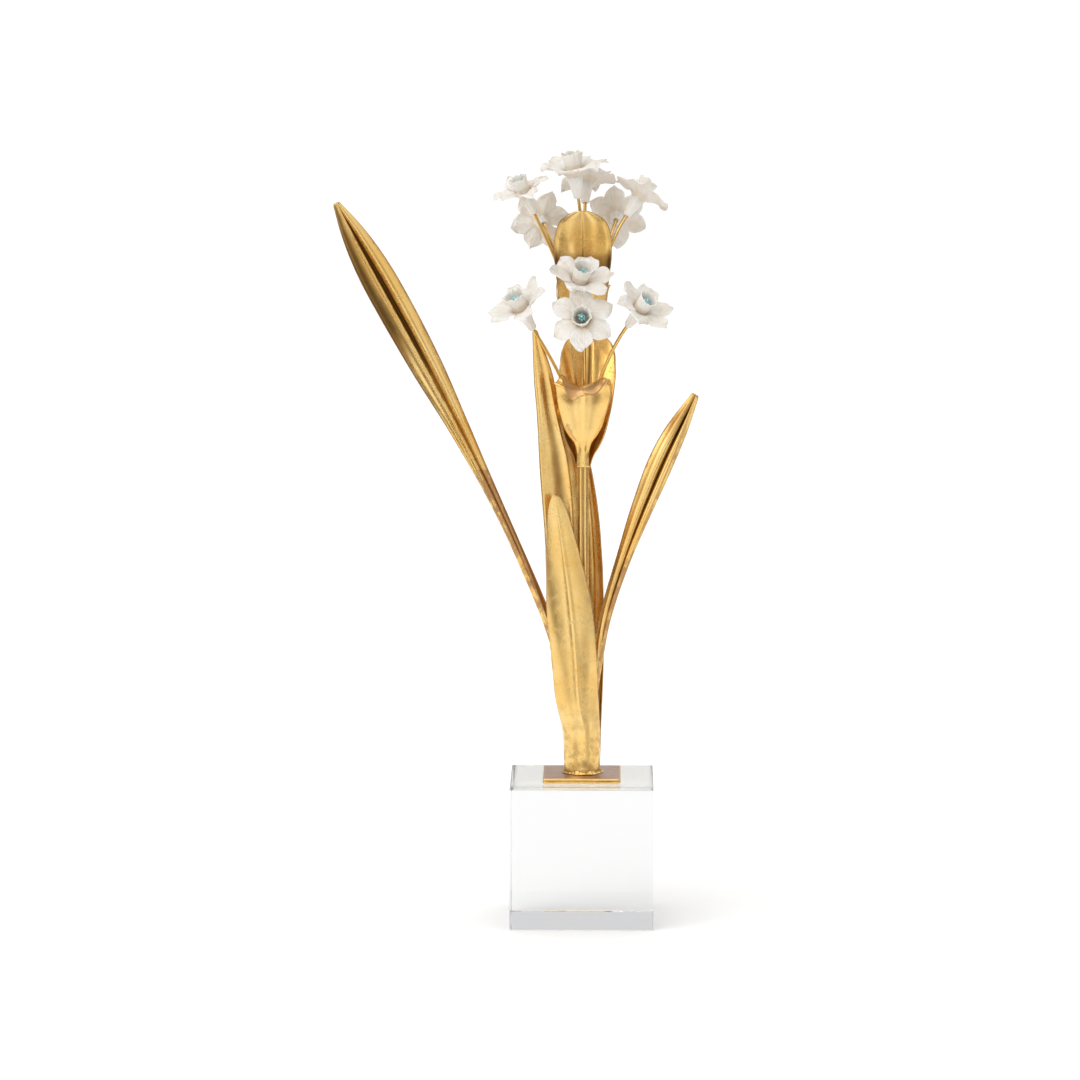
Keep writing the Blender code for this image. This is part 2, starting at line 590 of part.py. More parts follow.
def main():
    """Build the whole ornament."""
    clear_scene()
    collection = new_collection(OBJECT_NAME)
    block(collection)
    solder_bead(collection)
    leaves(collection)
    heads(collection)
    for name, spec in BLOOMS.items():
        pedicel(f"{name}_pedicel", spec, collection)
        bloom(name, spec, collection)


main()
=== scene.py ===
"""Gilded paperwhite narcissus ornament on a clear block.

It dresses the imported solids: leaves, stems and bracts of gilded sheet metal, wire pedicels, bisque porcelain
blooms with turquoise stamens, a gilt mounting plate and a clear block.

Lengths in the tables are millimetres and angles degrees, as a maker would write them. Every mesh is in metres,
in the frame of the solids: +Z up, origin under the middle of the block, the ornament's front towards -Y.
"""

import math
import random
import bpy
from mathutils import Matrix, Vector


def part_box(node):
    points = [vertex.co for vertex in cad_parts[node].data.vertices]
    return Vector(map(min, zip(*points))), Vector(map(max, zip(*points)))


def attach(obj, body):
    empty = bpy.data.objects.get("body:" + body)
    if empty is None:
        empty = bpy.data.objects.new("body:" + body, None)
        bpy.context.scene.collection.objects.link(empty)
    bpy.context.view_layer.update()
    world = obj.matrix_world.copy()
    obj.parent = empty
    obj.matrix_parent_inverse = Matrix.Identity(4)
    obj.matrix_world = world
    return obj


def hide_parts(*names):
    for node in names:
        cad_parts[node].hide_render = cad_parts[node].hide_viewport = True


bl_info = {
    "name": "Gilded Paperwhite Ornament",
    "version": (1, 0, 0),
    "blender": (4, 5, 0),
    "location": "View3D > Sidebar > Paperwhite",
    "description": "Builds a gilded paperwhite ornament with porcelain blooms on a clear block",
    "category": "Add Mesh",
}

import bmesh
import bpy
import numpy as np
from bpy.props import FloatProperty, FloatVectorProperty, IntProperty, PointerProperty
from bpy.types import Operator, Panel, PropertyGroup
from mathutils import Matrix, Vector, noise

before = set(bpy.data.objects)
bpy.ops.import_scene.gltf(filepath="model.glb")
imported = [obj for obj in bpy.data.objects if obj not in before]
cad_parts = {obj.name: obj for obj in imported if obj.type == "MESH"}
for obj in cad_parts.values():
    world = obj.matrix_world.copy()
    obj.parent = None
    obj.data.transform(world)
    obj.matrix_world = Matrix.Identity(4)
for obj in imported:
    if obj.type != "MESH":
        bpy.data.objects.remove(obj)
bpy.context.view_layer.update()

MM = 0.001
BODY = "root"

# Leaves and bracts. The first number of each entry is the place along the blade, from 0 at its foot to 1 at
# its tip. "spine" is the line of the middle (x, y, z), "width" the flat width of the sheet, "wrap" how far the
# sheet is rolled (over 0: bulges forward, under 0: hollow in front), "turn" how far its right edge is turned
# back. "folds" are lengthwise ribs and grooves: place across, spread, depth (under 0 is a rib), first and last
# place along, for a blade of FOLD_HALF_WIDTH. "washes" are browner patches of painted shade and painted dark
# reflection, and "worn" ones show the red ground, in the same way. "lift" raises the left and the right edge
# and rounds the right corner off: place along, three heights. LEVEL is a blade without turn or lift. Grooves as
# deep as FULL_WASH_DEPTH, in metres, take the whole brown of the grooves, partly antique toning and partly
# painted shade.
FOLD_HALF_WIDTH = 10
FULL_WASH_DEPTH = 4 * MM
LEVEL = [(0, 0, 0, 0), (1, 0, 0, 0)]
LEAVES = {
    "leaf_front": {
        "spine": [(0, 0, -8.9, 78.7), (0.14, -0.3, -9.2, 100), (0.29, -2.9, -10, 122), (0.4, -4, -10.6, 139),
                  (0.63, -7.2, -11.4, 173), (0.77, -9.6, -11.6, 193), (0.86, -11.4, -11.4, 207),
                  (1, -14.3, -10.8, 228.6)],
        "width": [(0, 27.5), (0.14, 27), (0.29, 26.4), (0.4, 26), (0.63, 24.2), (0.77, 18.6), (0.86, 14.6),
                  (0.93, 10.8), (0.97, 7.6), (0.99, 4.8), (1, 2.2)],
        "wrap": [(0, 174), (0.14, 160), (0.29, 112), (0.4, 88), (0.63, 62), (0.86, 46), (1, 30)],
        "folds": [(0.06, 0.1, -0.42, 0.14, 1), (-0.4, 0.3, 0.16, 0.2, 0.95), (0.45, 0.3, 0.1, 0.2, 0.95)],
        "painted_shade": [(1, 0.07, 0.45, 0.1, 0.95), (0.5, 0.3, 0.1, -0.2, 0.4), (0, 0.8, 0.22, -0.2, 0.14)],
        "worn": [(0, 1.2, 0.5, 0.965, 1.2), (-1, 0.08, 0.4, 0.25, 0.6)],
    },
    "leaf_back": {
        "spine": [(0, 0, 8.9, 78.7), (0.14, 0.2, 10.6, 104), (0.33, 0.6, 13.6, 139), (0.62, 1, 18.2, 192),
                  (0.77, 0, 19.2, 219), (0.91, -2, 19.6, 245), (1, -3.4, 19.6, 262)],
        "width": [(0, 27.5), (0.14, 26.5), (0.33, 25), (0.62, 20), (0.77, 16.6), (0.91, 10.8), (0.97, 6.8),
                  (1, 3)],
        "wrap": [(0, -174), (0.14, -150), (0.33, -112), (0.62, -76), (1, -50)],
        "folds": [(0, 0.08, 0.6, 0.2, 0.98), (0.55, 0.16, 0.6, 0.3, 0.95), (-0.5, 0.2, 0.5, 0.3, 0.95)],
        "painted_shade": [(0.3, 0.16, 0.45, 0, 0.8), (0.97, 0.07, 0.4, 0.2, 1)],
    },
    "leaf_left": {
        "spine": [(0, -4.9, -0.4, 78.7), (0.07, -5.2, -0.3, 100), (0.15, -8.4, 0, 126),
                  (0.25, -17.4, 0.5, 157), (0.38, -34.3, 1.6, 198.2), (0.555, -59.8, 3.4, 252),
                  (0.73, -87.8, 5.4, 305.5), (0.87, -111.4, 7.2, 348.3), (1, -130.2, 8.8, 381.6)],
        "width": [(0, 7), (0.15, 7), (0.3, 6.2), (0.42, 6), (0.5, 7.6), (0.6, 11.6), (0.7, 16.6), (0.8, 18.6),
                  (0.88, 16.8), (0.95, 10.6), (1, 3.2)],
        "wrap": [(0, 170), (0.3, 150), (0.42, 120), (0.6, 62), (0.8, 44), (1, 40)],
        "turn": [(0, 0), (1, 8)],
        "folds": [(-0.17, 0.06, -1.3, 0.25, 1.08), (0.08, 0.2, 2.6, 0.3, 1.08), (0.6, 0.26, -0.7, 0.3, 1.05),
                  (-1, 0.45, 1.2, 0.5, 1.1), (-0.5, 0.16, 0.5, 0.3, 0.9)],
        "painted_shade": [(-0.66, 0.38, 0.95, 0.68, 1.08), (0.98, 0.16, 0.5, 0.5, 1), (0.1, 0.13, 1.25, 0.66, 1.1),
                   (0.1, 0.12, 0.6, 0.4, 0.75), (-1, 0.06, 0.9, 0.3, 1), (0.4, 0.6, 0.45, -0.2, 0.56)],
        "worn": [(-0.13, 0.05, 0.7, 0.35, 1), (0.5, 0.7, 0.85, -0.2, 0.54), (-0.7, 0.5, 0.6, -0.2, 0.55),
                 (1, 0.14, 0.7, 0.45, 0.95)],
    },
    "leaf_right": {
        "spine": [(0, 4.9, -0.4, 78.7), (0.16, 5.3, -0.5, 116), (0.28, 7.9, -0.8, 138),
                  (0.37, 10.8, -1.1, 155.5), (0.57, 21.4, -2.2, 192.6), (0.73, 33, -3.2, 225),
                  (0.87, 44.5, -4.2, 252.6), (1, 59.6, -5.2, 281.6)],
        "width": [(0, 7), (0.28, 6.8), (0.45, 7), (0.57, 8), (0.73, 12), (0.83, 13.4), (0.91, 11.6),
                  (1, 3.6)],
        "wrap": [(0, 170), (0.28, 150), (0.45, 110), (0.73, 60), (1, 40)],
        "turn": [(0, 0), (1, -16)],
        "folds": [(0.2, 0.17, 2.4, 0.28, 1.06), (-0.32, 0.26, -1, 0.3, 1.05), (0.52, 0.09, -0.8, 0.3, 1.05),
                  (0.8, 0.14, 0.7, 0.3, 0.95)],
        "painted_shade": [(0.24, 0.2, 0.85, 0.4, 1.05), (0.75, 0.14, 0.45, 0.3, 1), (0.3, 0.5, 0.4, -0.2, 0.6),
                   (-0.95, 0.07, 0.6, 0.4, 1), (0, 0.9, 0.45, 0.86, 1.2), (-0.3, 0.5, 0.25, 0.4, 1.2)],
        "worn": [(0.6, 0.6, 0.7, -0.2, 0.62), (-0.9, 0.12, 0.5, 0.2, 0.9), (0.9, 0.12, 0.6, 0.3, 0.95)],
    },
    "leaf_centre": {
        "spine": [(0, -5.7, -4.1, 78.7), (0.1, -5.9, -4.3, 100), (0.15, -6.9, -4.6, 112),
                  (0.26, -9.2, -4.9, 139), (0.4, -10.7, -4.5, 173), (0.47, -10.4, -3.6, 191),
                  (0.54, -10, -3.3, 207), (0.695, -12.9, -3.2, 243), (0.82, -17.7, -3.1, 272.5),
                  (0.9, -20.2, -3.6, 290), (1, -25, -4.4, 315.4)],
        "width": [(0, 6.4), (0.14, 7.6), (0.26, 11), (0.4, 14.6), (0.47, 17.4), (0.54, 20), (0.695, 19.2),
                  (0.82, 12.4), (0.9, 10.2), (1, 2)],
        "wrap": [(0, 55), (0.26, 40), (0.54, 50), (1, 40)],
        "turn": [(0, -58), (0.14, -34), (0.26, -10), (0.4, 6), (0.47, 20), (0.54, 27), (0.695, 22), (0.9, 14),
                 (1, 10)],
        "folds": [(0.02, 0.42, 1.9, 0.25, 1.05), (0.58, 0.14, -0.8, 0.2, 0.9), (-0.92, 0.1, -0.5, 0.4, 1.02)],
        "painted_shade": [(0, 0.3, 0.3, 0.5, 1.02), (0.4, 0.09, 0.45, 0.15, 0.66), (0.96, 0.06, 0.5, 0.2, 0.9)],
    },
}

# A bract stands about the top of its stem, with z along the stem. The rear head's are turned round.
SHORT_BRACT = {
    "spine": [(0, 0, -3.2, -13), (0.16, 0, -3.4, -4), (0.38, 0, -6.2, 8), (0.58, 0, -9.2, 20),
              (0.74, 0, -11.2, 28.8), (0.82, -0.8, -13.2, 31), (0.9, -3.6, -16.2, 29.6),
              (1, -6, -19.2, 24.6)],
    "width": [(0, 7.2), (0.16, 7.2), (0.23, 10.8), (0.28, 16.4), (0.34, 20.8), (0.45, 25.2), (0.6, 29.2),
              (0.74, 31), (0.82, 30), (0.88, 20), (0.94, 10), (1, 1.6)],
    "wrap": [(0, 100), (0.16, 100), (0.26, 100), (0.58, 76), (0.74, 60), (0.82, 36), (1, 12)],
    "folds": [(0, 0.13, -0.2, 0.2, 0.8)],
    "painted_shade": [(1, 0.05, 0.6, 0.3, 0.8), (-1, 0.05, 0.4, 0.3, 0.8)],
    "worn": [(0, 3, 0.8, 0.8, 2), (0.7, 0.24, 0.45, 0.69, 0.9), (-0.66, 0.3, 0.55, 0.22, 0.44)],
    "lift": [(0, 0, 0, 0), (0.5, 0, 0, 0), (0.8, 2, 1.2, 2.8), (0.86, 1, 0.6, 1.2), (0.92, 0, 0, 0),
             (1, 0, 0, 0)],
}
BRACTS = {
    "front_short_bract": SHORT_BRACT,
    "front_tall_bract": {
        "spine": [(0, 0, 3.2, -14), (0.17, 0.3, 3.8, -2), (0.37, 1.1, 6, 14), (0.58, 2, 8.4, 29),
                  (0.78, 2.6, 10.8, 43), (1, 2.9, 14.6, 56.6)],
        "width": [(0, 8.4), (0.08, 12), (0.2, 22), (0.37, 28), (0.58, 30.6), (0.74, 30), (0.85, 27.4),
                  (0.93, 22), (0.98, 14), (1, 8)],
        "wrap": [(0, -120), (0.12, -106), (0.37, -80), (0.58, -66), (1, -40)],
        "folds": [(0.05, 0.1, 0.75, 0.2, 1.05), (-0.11, 0.035, -0.2, 0.3, 1), (0.42, 0.14, 0.3, 0.5, 0.9)],
        "painted_shade": [(0.42, 0.12, 0.45, 0.62, 0.92), (-0.9, 0.4, 0.9, -0.2, 0.42), (0.6, 0.14, 0.9, -0.2, 0.45),
                   (0.06, 0.09, 0.75, 0.2, 1.1)],
    },
    "rear_short_bract": dict(SHORT_BRACT, width=[(0, 7.2), (0.16, 7.2), (0.24, 11.4), (0.36, 18.6),
                                                 (0.58, 26.4), (0.74, 29.4), (0.82, 29.4), (0.9, 22),
                                                 (1, 4)]),
    "rear_tall_bract": {
        "spine": [(0, 0, 3.2, -13), (0.15, 0, 3.5, 0), (0.3, 0, 5, 13), (0.5, 0, 7.3, 31), (0.68, 0, 9, 47),
                  (0.8, 0, 12, 57), (1, 0.3, 18.5, 72)],
        "width": [(0, 9.4), (0.08, 12.4), (0.18, 17.6), (0.3, 22.8), (0.45, 26.6), (0.58, 29.4), (0.68, 31),
                  (0.8, 30.2), (0.88, 26.6), (0.94, 20.6), (0.98, 12), (1, 6)],
        "wrap": [(0, -120), (0.12, -106), (0.3, -80), (0.68, -56), (1, -34)],
        "folds": [(0, 0.025, -0.2, 0.1, 1.05), (0, 0.3, -0.35, 0.62, 1.1), (0.97, 0.08, -0.3, 0.5, 1.1),
                  (-0.97, 0.08, -0.3, 0.5, 1.1)],
        "painted_shade": [(0, 0.025, 0.7, 0.1, 1), (0, 3, 0.85, 0.5, 0.76), (0.94, 0.12, 0.4, 0.5, 1.1),
                   (-0.94, 0.12, 0.4, 0.5, 1.1), (0, 3, 0.2, -0.2, 0.6)],
    },
}

# Stems: foot and top of the middle line
STEMS = {
    "front": ((0.4, -4, 78.7), (0.4, -4, 256.5)),
    "rear": ((0, 4, 78.7), (0.1, 17.6, 305)),
}

# Blooms: the head's stem, the pedicel's foot on the stem top (x, y), the foot of the tube (x, y, z), the
# direction that the bloom faces, its turn about that direction, how flat its tepals lie (1 is flat), its size.
BLOOMS = {
    "front_left": ("front", (-1.15, -1), (-26, -8, 317), (-0.44, -0.42, 0.79), 24, 0.7, 1),
    "front_upper": ("front", (-1.15, 1.1), (-4.9, -5, 331), (0.24, -0.52, 0.82), 53, 0.78, 1.03),
    "front_lower": ("front", (1.15, -1), (0.6, -10, 318.6), (-0.04, -0.94, 0.34), 31, 1, 0.98),
    "front_right": ("front", (1.15, 1.1), (23.9, -12, 319), (0.5, -0.52, 0.7), 42, 0.8, 0.96),
    "rear_left": ("rear", (-2.2, -1.1), (-25.8, 15.8, 376), (-0.41, -0.28, 0.87), 41, 0.83, 0.92),
    "rear_left_back": ("rear", (-2.2, 1.1), (-20.9, 27.6, 369.1), (-0.15, 0.98, 0.07), 52, 1, 0.91),
    "rear_top": ("rear", (0, -1.1), (-2.3, 15.4, 384), (-0.15, -0.12, 0.98), 2, 0.83, 1.05),
    "rear_top_back": ("rear", (0, 1.1), (1.2, 27, 380.6), (0.04, 0.46, 0.89), 20, 1, 0.95),
    "rear_right": ("rear", (2.2, -1.1), (23, 22, 374), (0.52, 0.34, 0.78), 26, 0.84, 0.97),
    "rear_right_back": ("rear", (2.2, 1.1), (17.6, 30, 371), (0.04, 0.99, 0.1), 24, 1, 0.94),
}

# How far a pedicel starts over the stem's top, its straight end below the bloom, and the gap left in its socket
PEDICEL_SEAT = 0.5
STRAIGHT_END = 1.2
SOCKET_GAP = 0.3
SOCKET_DEPTH = 2.6

# Turned outline of a bloom's tube and cup, radius and height over the foot of the tube, from the throat's
# floor up the inside, over the rim and down the outside to the foot
CORE_OUTLINE = [(0, 0.05, 12.4), (0.05, 1.8, 12.5), (0.1, 2.5, 13.2), (0.2, 3.4, 16), (0.3, 4, 19.2),
                (0.4, 4.45, 22.2), (0.45, 4.85, 23.4), (0.475, 5.15, 23.65), (0.5, 5.3, 23.3),
                (0.56, 4.95, 21.8), (0.64, 4.55, 19.2), (0.7, 4.25, 16.9), (0.745, 4.1, 14.8), (0.8, 3.9, 12),
                (0.88, 3.2, 7.4), (0.95, 2.45, 2.6), (0.985, 2.15, 0.35), (1, 1.7, 0)]

# Waves round a cup's frilled rim and their sizes, and the height of the stamens' foot in the throat
FRILL_WAVES = ((2, 0.05), (3, 0.05), (5, 0.06), (6, 0.06), (7, 0.05), (11, 0.03), (17, 0.02))
THROAT_FLOOR = 11.7

# A tepal's middle line in the plane of its own direction (radius, height over the star's plane), and half
# its width
TEPAL_LINE = [(0, 3, -5.6), (0.1, 3.55, -3.6), (0.19, 4.5, -1.7), (0.28, 6.2, -0.35), (0.4, 8.6, 0.25),
              (0.6, 11.9, 0.35), (0.8, 15, 0), (1, 17.6, -1.2)]
TEPAL_HALF_WIDTH = [(0, 1.25), (0.1, 1.75), (0.19, 2.6), (0.28, 3.9), (0.4, 5.3), (0.5, 6), (0.6, 6.05),
                    (0.72, 5.3), (0.83, 3.9), (0.91, 2.6), (0.97, 1.3), (1, 0.35)]

# The plate's edge, from the rim of its top face to the rim of its underside: how far it lies inside the
# plate's outline, and the share of its thickness below the top. Two sheets show, with a dark seam.
PLATE_EDGE = [(0.75, 0), (0.35, 0.03), (0.1, 0.14), (0, 0.3), (0.08, 0.43), (0.34, 0.49), (0.34, 0.53),
              (0.06, 0.59), (0, 0.72), (0.12, 0.9), (0.4, 0.98), (0.8, 1)]

# The dirt at the foot of the bundle
FOOT_DIRT = (0.36, 0.21, 0.07)

# Soft lights: place, the point it looks at, size, strength, colour
LIGHTS = {
    "key_left": ((-1.7, -1.7, 1.5), (0.0, 0.0, 0.2), 1.3, 2.5, (1.0, 0.99, 0.97)),
    "rim_back": ((0.9, 1.9, 1.2), (0.0, 0.0, 0.2), 0.9, 2.0, (1.0, 1.0, 1.0)),
}

# Bright panels in the studio's dome: direction, cosines where the panel fades out and is full, brightness
PANELS = {
    "left": ((-0.60, -0.62, 0.62), 0.72, 0.93, 2.7),
    "right": ((0.80, -0.60, 0.30), 0.80, 0.96, 1.3),
    "overhead": ((0.0, 0.10, 1.0), 0.72, 0.96, 2.0),
    "behind": ((0.10, 0.95, 0.25), 0.84, 0.96, 1.05),
}

# Brown cloths on the floor round the ornament, which only the gold's reflections show: middle and size of each
CLOTHS = {
    "cloth_left": ((-0.58, -0.58), (0.62, 0.46)),
    "cloth_right": ((0.37, -0.50), (0.30, 0.30)),
    "cloth_far_left": ((-2.30, -0.80), (2.4, 4.0)),
    "cloth_far_right": ((2.05, -0.80), (2.2, 4.0)),
}


class SheetSettings(PropertyGroup):
    leaf_thickness: FloatProperty(
        name="Leaf thickness", description="Thickness of a leaf's sheet", default=0.0009, unit="LENGTH")
    bract_thickness: FloatProperty(
        name="Bract thickness", description="Thickness of a bract's sheet", default=0.0008, unit="LENGTH")
    leaf_rows: IntProperty(name="Leaf rows", description="Rows of faces along a leaf", default=190)
    leaf_columns: IntProperty(name="Leaf columns", description="Columns of faces across a leaf", default=48)
    bract_rows: IntProperty(name="Bract rows", description="Rows of faces along a bract", default=120)
    bract_columns: IntProperty(name="Bract columns", description="Columns of faces across a bract", default=56)
    hand_wave: FloatProperty(
        name="Hand wave", description="How far the beaten sheet strays from its true form", default=0.00016,
        unit="LENGTH")


class WireSettings(PropertyGroup):
    pedicel_radius: FloatProperty(
        name="Pedicel radius", description="Radius of a bloom's wire", default=0.0009, unit="LENGTH")
    stem_half_width: FloatProperty(
        name="Stem half width", description="Half the stem's width", default=0.0028, unit="LENGTH")
    stem_half_depth: FloatProperty(
        name="Stem half depth", description="Half the stem's depth", default=0.0022, unit="LENGTH")
    stem_ribs: IntProperty(name="Stem ribs", description="Lengthwise ribs round a stem", default=6)
    rib_height: FloatProperty(
        name="Rib height", description="How far a rib stands out", default=0.00036, unit="LENGTH")


class BloomSettings(PropertyGroup):
    tepal_count: IntProperty(name="Tepals", description="Tepals of a bloom", default=6)
    tepal_reach: FloatProperty(
        name="Tepal reach", description="From the axis to a tepal's tip", default=0.0176, unit="LENGTH")
    tube_length: FloatProperty(
        name="Tube length", description="From the foot of the tube to the tepals", default=0.015, unit="LENGTH")
    tepal_thickness: FloatProperty(
        name="Tepal thickness", description="Thickness in the middle of a tepal", default=0.00095,
        unit="LENGTH")
    vein_height: FloatProperty(
        name="Vein height", description="How far the veins stand out", default=0.00016, unit="LENGTH")
    stamen_count: IntProperty(name="Stamens", description="Stamens round the style", default=6)
    stamen_length: FloatProperty(
        name="Stamen length", description="From the throat's floor to an anther's tip", default=0.0092,
        unit="LENGTH")


class BaseSettings(PropertyGroup):
    block_bevel: FloatProperty(
        name="Block bevel", description="Bevel on the clear block's edges", default=0.0007, unit="LENGTH")
    plate_corner: FloatProperty(
        name="Plate corner", description="Radius of the plate's corners", default=0.0016, unit="LENGTH")
    bead_width: FloatProperty(
        name="Solder width", description="Width of the solder at the bundle's foot", default=0.0017,
        unit="LENGTH")


class FinishSettings(PropertyGroup):
    gold: FloatVectorProperty(
        name="Gold", description="Colour of the gold leaf", subtype="COLOR", size=3,
        default=(0.87, 0.545, 0.165))
    pale_gold: FloatVectorProperty(
        name="Pale gold", description="Colour where the leaf is rubbed bright", subtype="COLOR", size=3,
        default=(0.95, 0.67, 0.27))
    # This brown colours the random mottle, streaks and cracks, the plate's seam and the antique toning in the
    # grooves, and it is also the painted shade and painted dark reflection in grooves and painted patches.
    patina_and_shade_colour: FloatVectorProperty(
        name="Patina", description="Colour of the wash left in the grooves", subtype="COLOR", size=3,
        default=(0.27, 0.135, 0.034))
    # The darkest painted shade, in the deepest grooves and the strongest painted patches.
    umber_and_shade: FloatVectorProperty(
        name="Umber", description="Colour in the bottom of the deepest grooves", subtype="COLOR", size=3,
        default=(0.09, 0.05, 0.014))
    bole: FloatVectorProperty(
        name="Red ground", description="Colour of the ground where the leaf is worn off", subtype="COLOR",
        size=3, default=(0.46, 0.245, 0.11))
    porcelain: FloatVectorProperty(
        name="Porcelain", description="Colour of the bisque porcelain", subtype="COLOR", size=3,
        default=(0.80, 0.775, 0.735))
    # A warmer porcelain colour, mixed in at random in soft clouds, and the painted shade in the throats,
    # creases and folds.
    porcelain_tone_and_shade: FloatVectorProperty(
        name="Porcelain shade", description="Colour where the slip lies thick", subtype="COLOR", size=3,
        default=(0.68, 0.565, 0.42))
    turquoise: FloatVectorProperty(
        name="Turquoise", description="Colour of the stamens", subtype="COLOR", size=3,
        default=(0.26, 0.66, 0.70))


class StageSettings(PropertyGroup):
    camera_distance: FloatProperty(
        name="Camera distance", description="From the camera to the middle of its view", default=3.0,
        unit="LENGTH")
    camera_elevation: FloatProperty(
        name="Camera elevation", description="How far the camera looks down", default=math.radians(7.88),
        subtype="ANGLE")
    camera_azimuth: FloatProperty(
        name="Camera azimuth", description="How far the camera stands to the right", default=math.radians(0.81),
        subtype="ANGLE")
    camera_lens: FloatProperty(name="Lens", description="Focal length in millimetres", default=188.2)
    view_middle: FloatVectorProperty(
        name="View middle", description="The point in the middle of the picture", subtype="TRANSLATION",
        size=3, default=(-0.0224, 0.0, 0.2034))
    floor_size: FloatProperty(name="Floor size", description="Width of the floor", default=60.0, unit="LENGTH")
    sky_light: FloatProperty(name="Sky light", description="Strength of the light all round", default=0.72)


class PaperwhiteSettings(PropertyGroup):
    sheets: PointerProperty(type=SheetSettings, name="Sheets", description="Leaves and bracts")
    wires: PointerProperty(type=WireSettings, name="Wires", description="Stems and pedicels")
    blooms: PointerProperty(type=BloomSettings, name="Blooms", description="Blooms and stamens")
    base: PointerProperty(type=BaseSettings, name="Base", description="Block, plate and solder")
    finishes: PointerProperty(type=FinishSettings, name="Finishes", description="Colours of the finishes")
    stage: PointerProperty(type=StageSettings, name="Stage", description="Floor, lights and camera")


class Nodes:
    """Short calls for building a node tree."""

    def __init__(self, tree):
        self.tree = tree

    def put(self, value, target):
        """Link a socket to an input, or set the input to a value."""
        if isinstance(value, bpy.types.NodeSocket):
            self.tree.links.new(value, target)
        else:
            target.default_value = value

    def add(self, kind, inputs=None, **settings):
        """A node with its properties set, and its inputs to values or sockets."""
        item = self.tree.nodes.new(kind)
        for name, value in settings.items():
            setattr(item, name, value)
        for name, value in (inputs or {}).items():
            self.put(value, item.inputs[name])
        return item

    def place(self):
        """The piece's own coordinates."""
        return self.add("ShaderNodeTexCoord").outputs["Object"]

    def sheet(self):
        """The map of a sheet, in metres."""
        return self.add("ShaderNodeUVMap", uv_map="sheet").outputs["UV"]

    def field(self, name):
        """A value kept on the mesh."""
        return self.add("ShaderNodeAttribute", attribute_name=name).outputs["Fac"]

    def axes(self, vector):
        """A vector's X, Y and Z."""
        return self.add("ShaderNodeSeparateXYZ", {0: vector}).outputs

    def noise(self, vector, scale, detail=4.0, roughness=0.55):
        """The value of a noise texture."""
        inputs = {"Vector": vector, "Scale": scale, "Detail": detail, "Roughness": roughness}
        return self.add("ShaderNodeTexNoise", inputs).outputs["Fac"]

    def ramp(self, value, low, high, first=0.0, last=1.0):
        """A value stretched from low..high to first..last and held at the ends."""
        inputs = {"Value": value, "From Min": low, "From Max": high, "To Min": first, "To Max": last}
        return self.add("ShaderNodeMapRange", inputs, interpolation_type="SMOOTHSTEP").outputs["Result"]

    def maths(self, operation, first, second=0.0):
        """Arithmetic on one or two values."""
        return self.add("ShaderNodeMath", {0: first, 1: second}, operation=operation).outputs[0]

    def times(self, first, second):
        """The product of two values."""
        return self.maths("MULTIPLY", first, second)

    def coated(self, colour, *coats):
        """A colour under coats of (share, colour), the first one lowest."""
        for share, coat in coats:
            inputs = {0: share}
            for place, value in ((6, colour), (7, coat)):
                inputs[place] = value if isinstance(value, bpy.types.NodeSocket) else (*value[:3], 1.0)
            colour = self.add("ShaderNodeMix", inputs, data_type="RGBA").outputs[2]
        return colour

    def stretched(self, vector, scale, turn=0.0):
        """Coordinates scaled along each axis and turned about Z."""
        inputs = {"Vector": vector, "Scale": scale, "Rotation": (0.0, 0.0, turn)}
        return self.add("ShaderNodeMapping", inputs).outputs["Vector"]

    def bumped(self, *layers):
        """A normal bumped by layers of (height, distance, strength), the first one lowest."""
        below = {}
        for height, distance, strength in layers:
            inputs = {"Height": height, "Distance": distance, "Strength": strength, **below}
            below = {"Normal": self.add("ShaderNodeBump", inputs).outputs["Normal"]}
        return below["Normal"]

    def joined(self, *parts):
        """Several geometries in one."""
        item = self.add("GeometryNodeJoinGeometry")
        for part in parts:
            self.put(part, item.inputs["Geometry"])
        return item.outputs["Geometry"]


def finish_of(make):
    """The finish that a function describes by its shader's inputs, made once and shared."""
    finish = bpy.data.materials.get(make.__name__)
    if finish is None:
        finish = bpy.data.materials.new(make.__name__)
        finish.use_nodes = True
        nodes = Nodes(finish.node_tree)
        shader = finish.node_tree.nodes["Principled BSDF"]
        for name, value in make(nodes, bpy.context.scene.paperwhite.finishes).items():
            nodes.put(value, shader.inputs[name])
    return finish


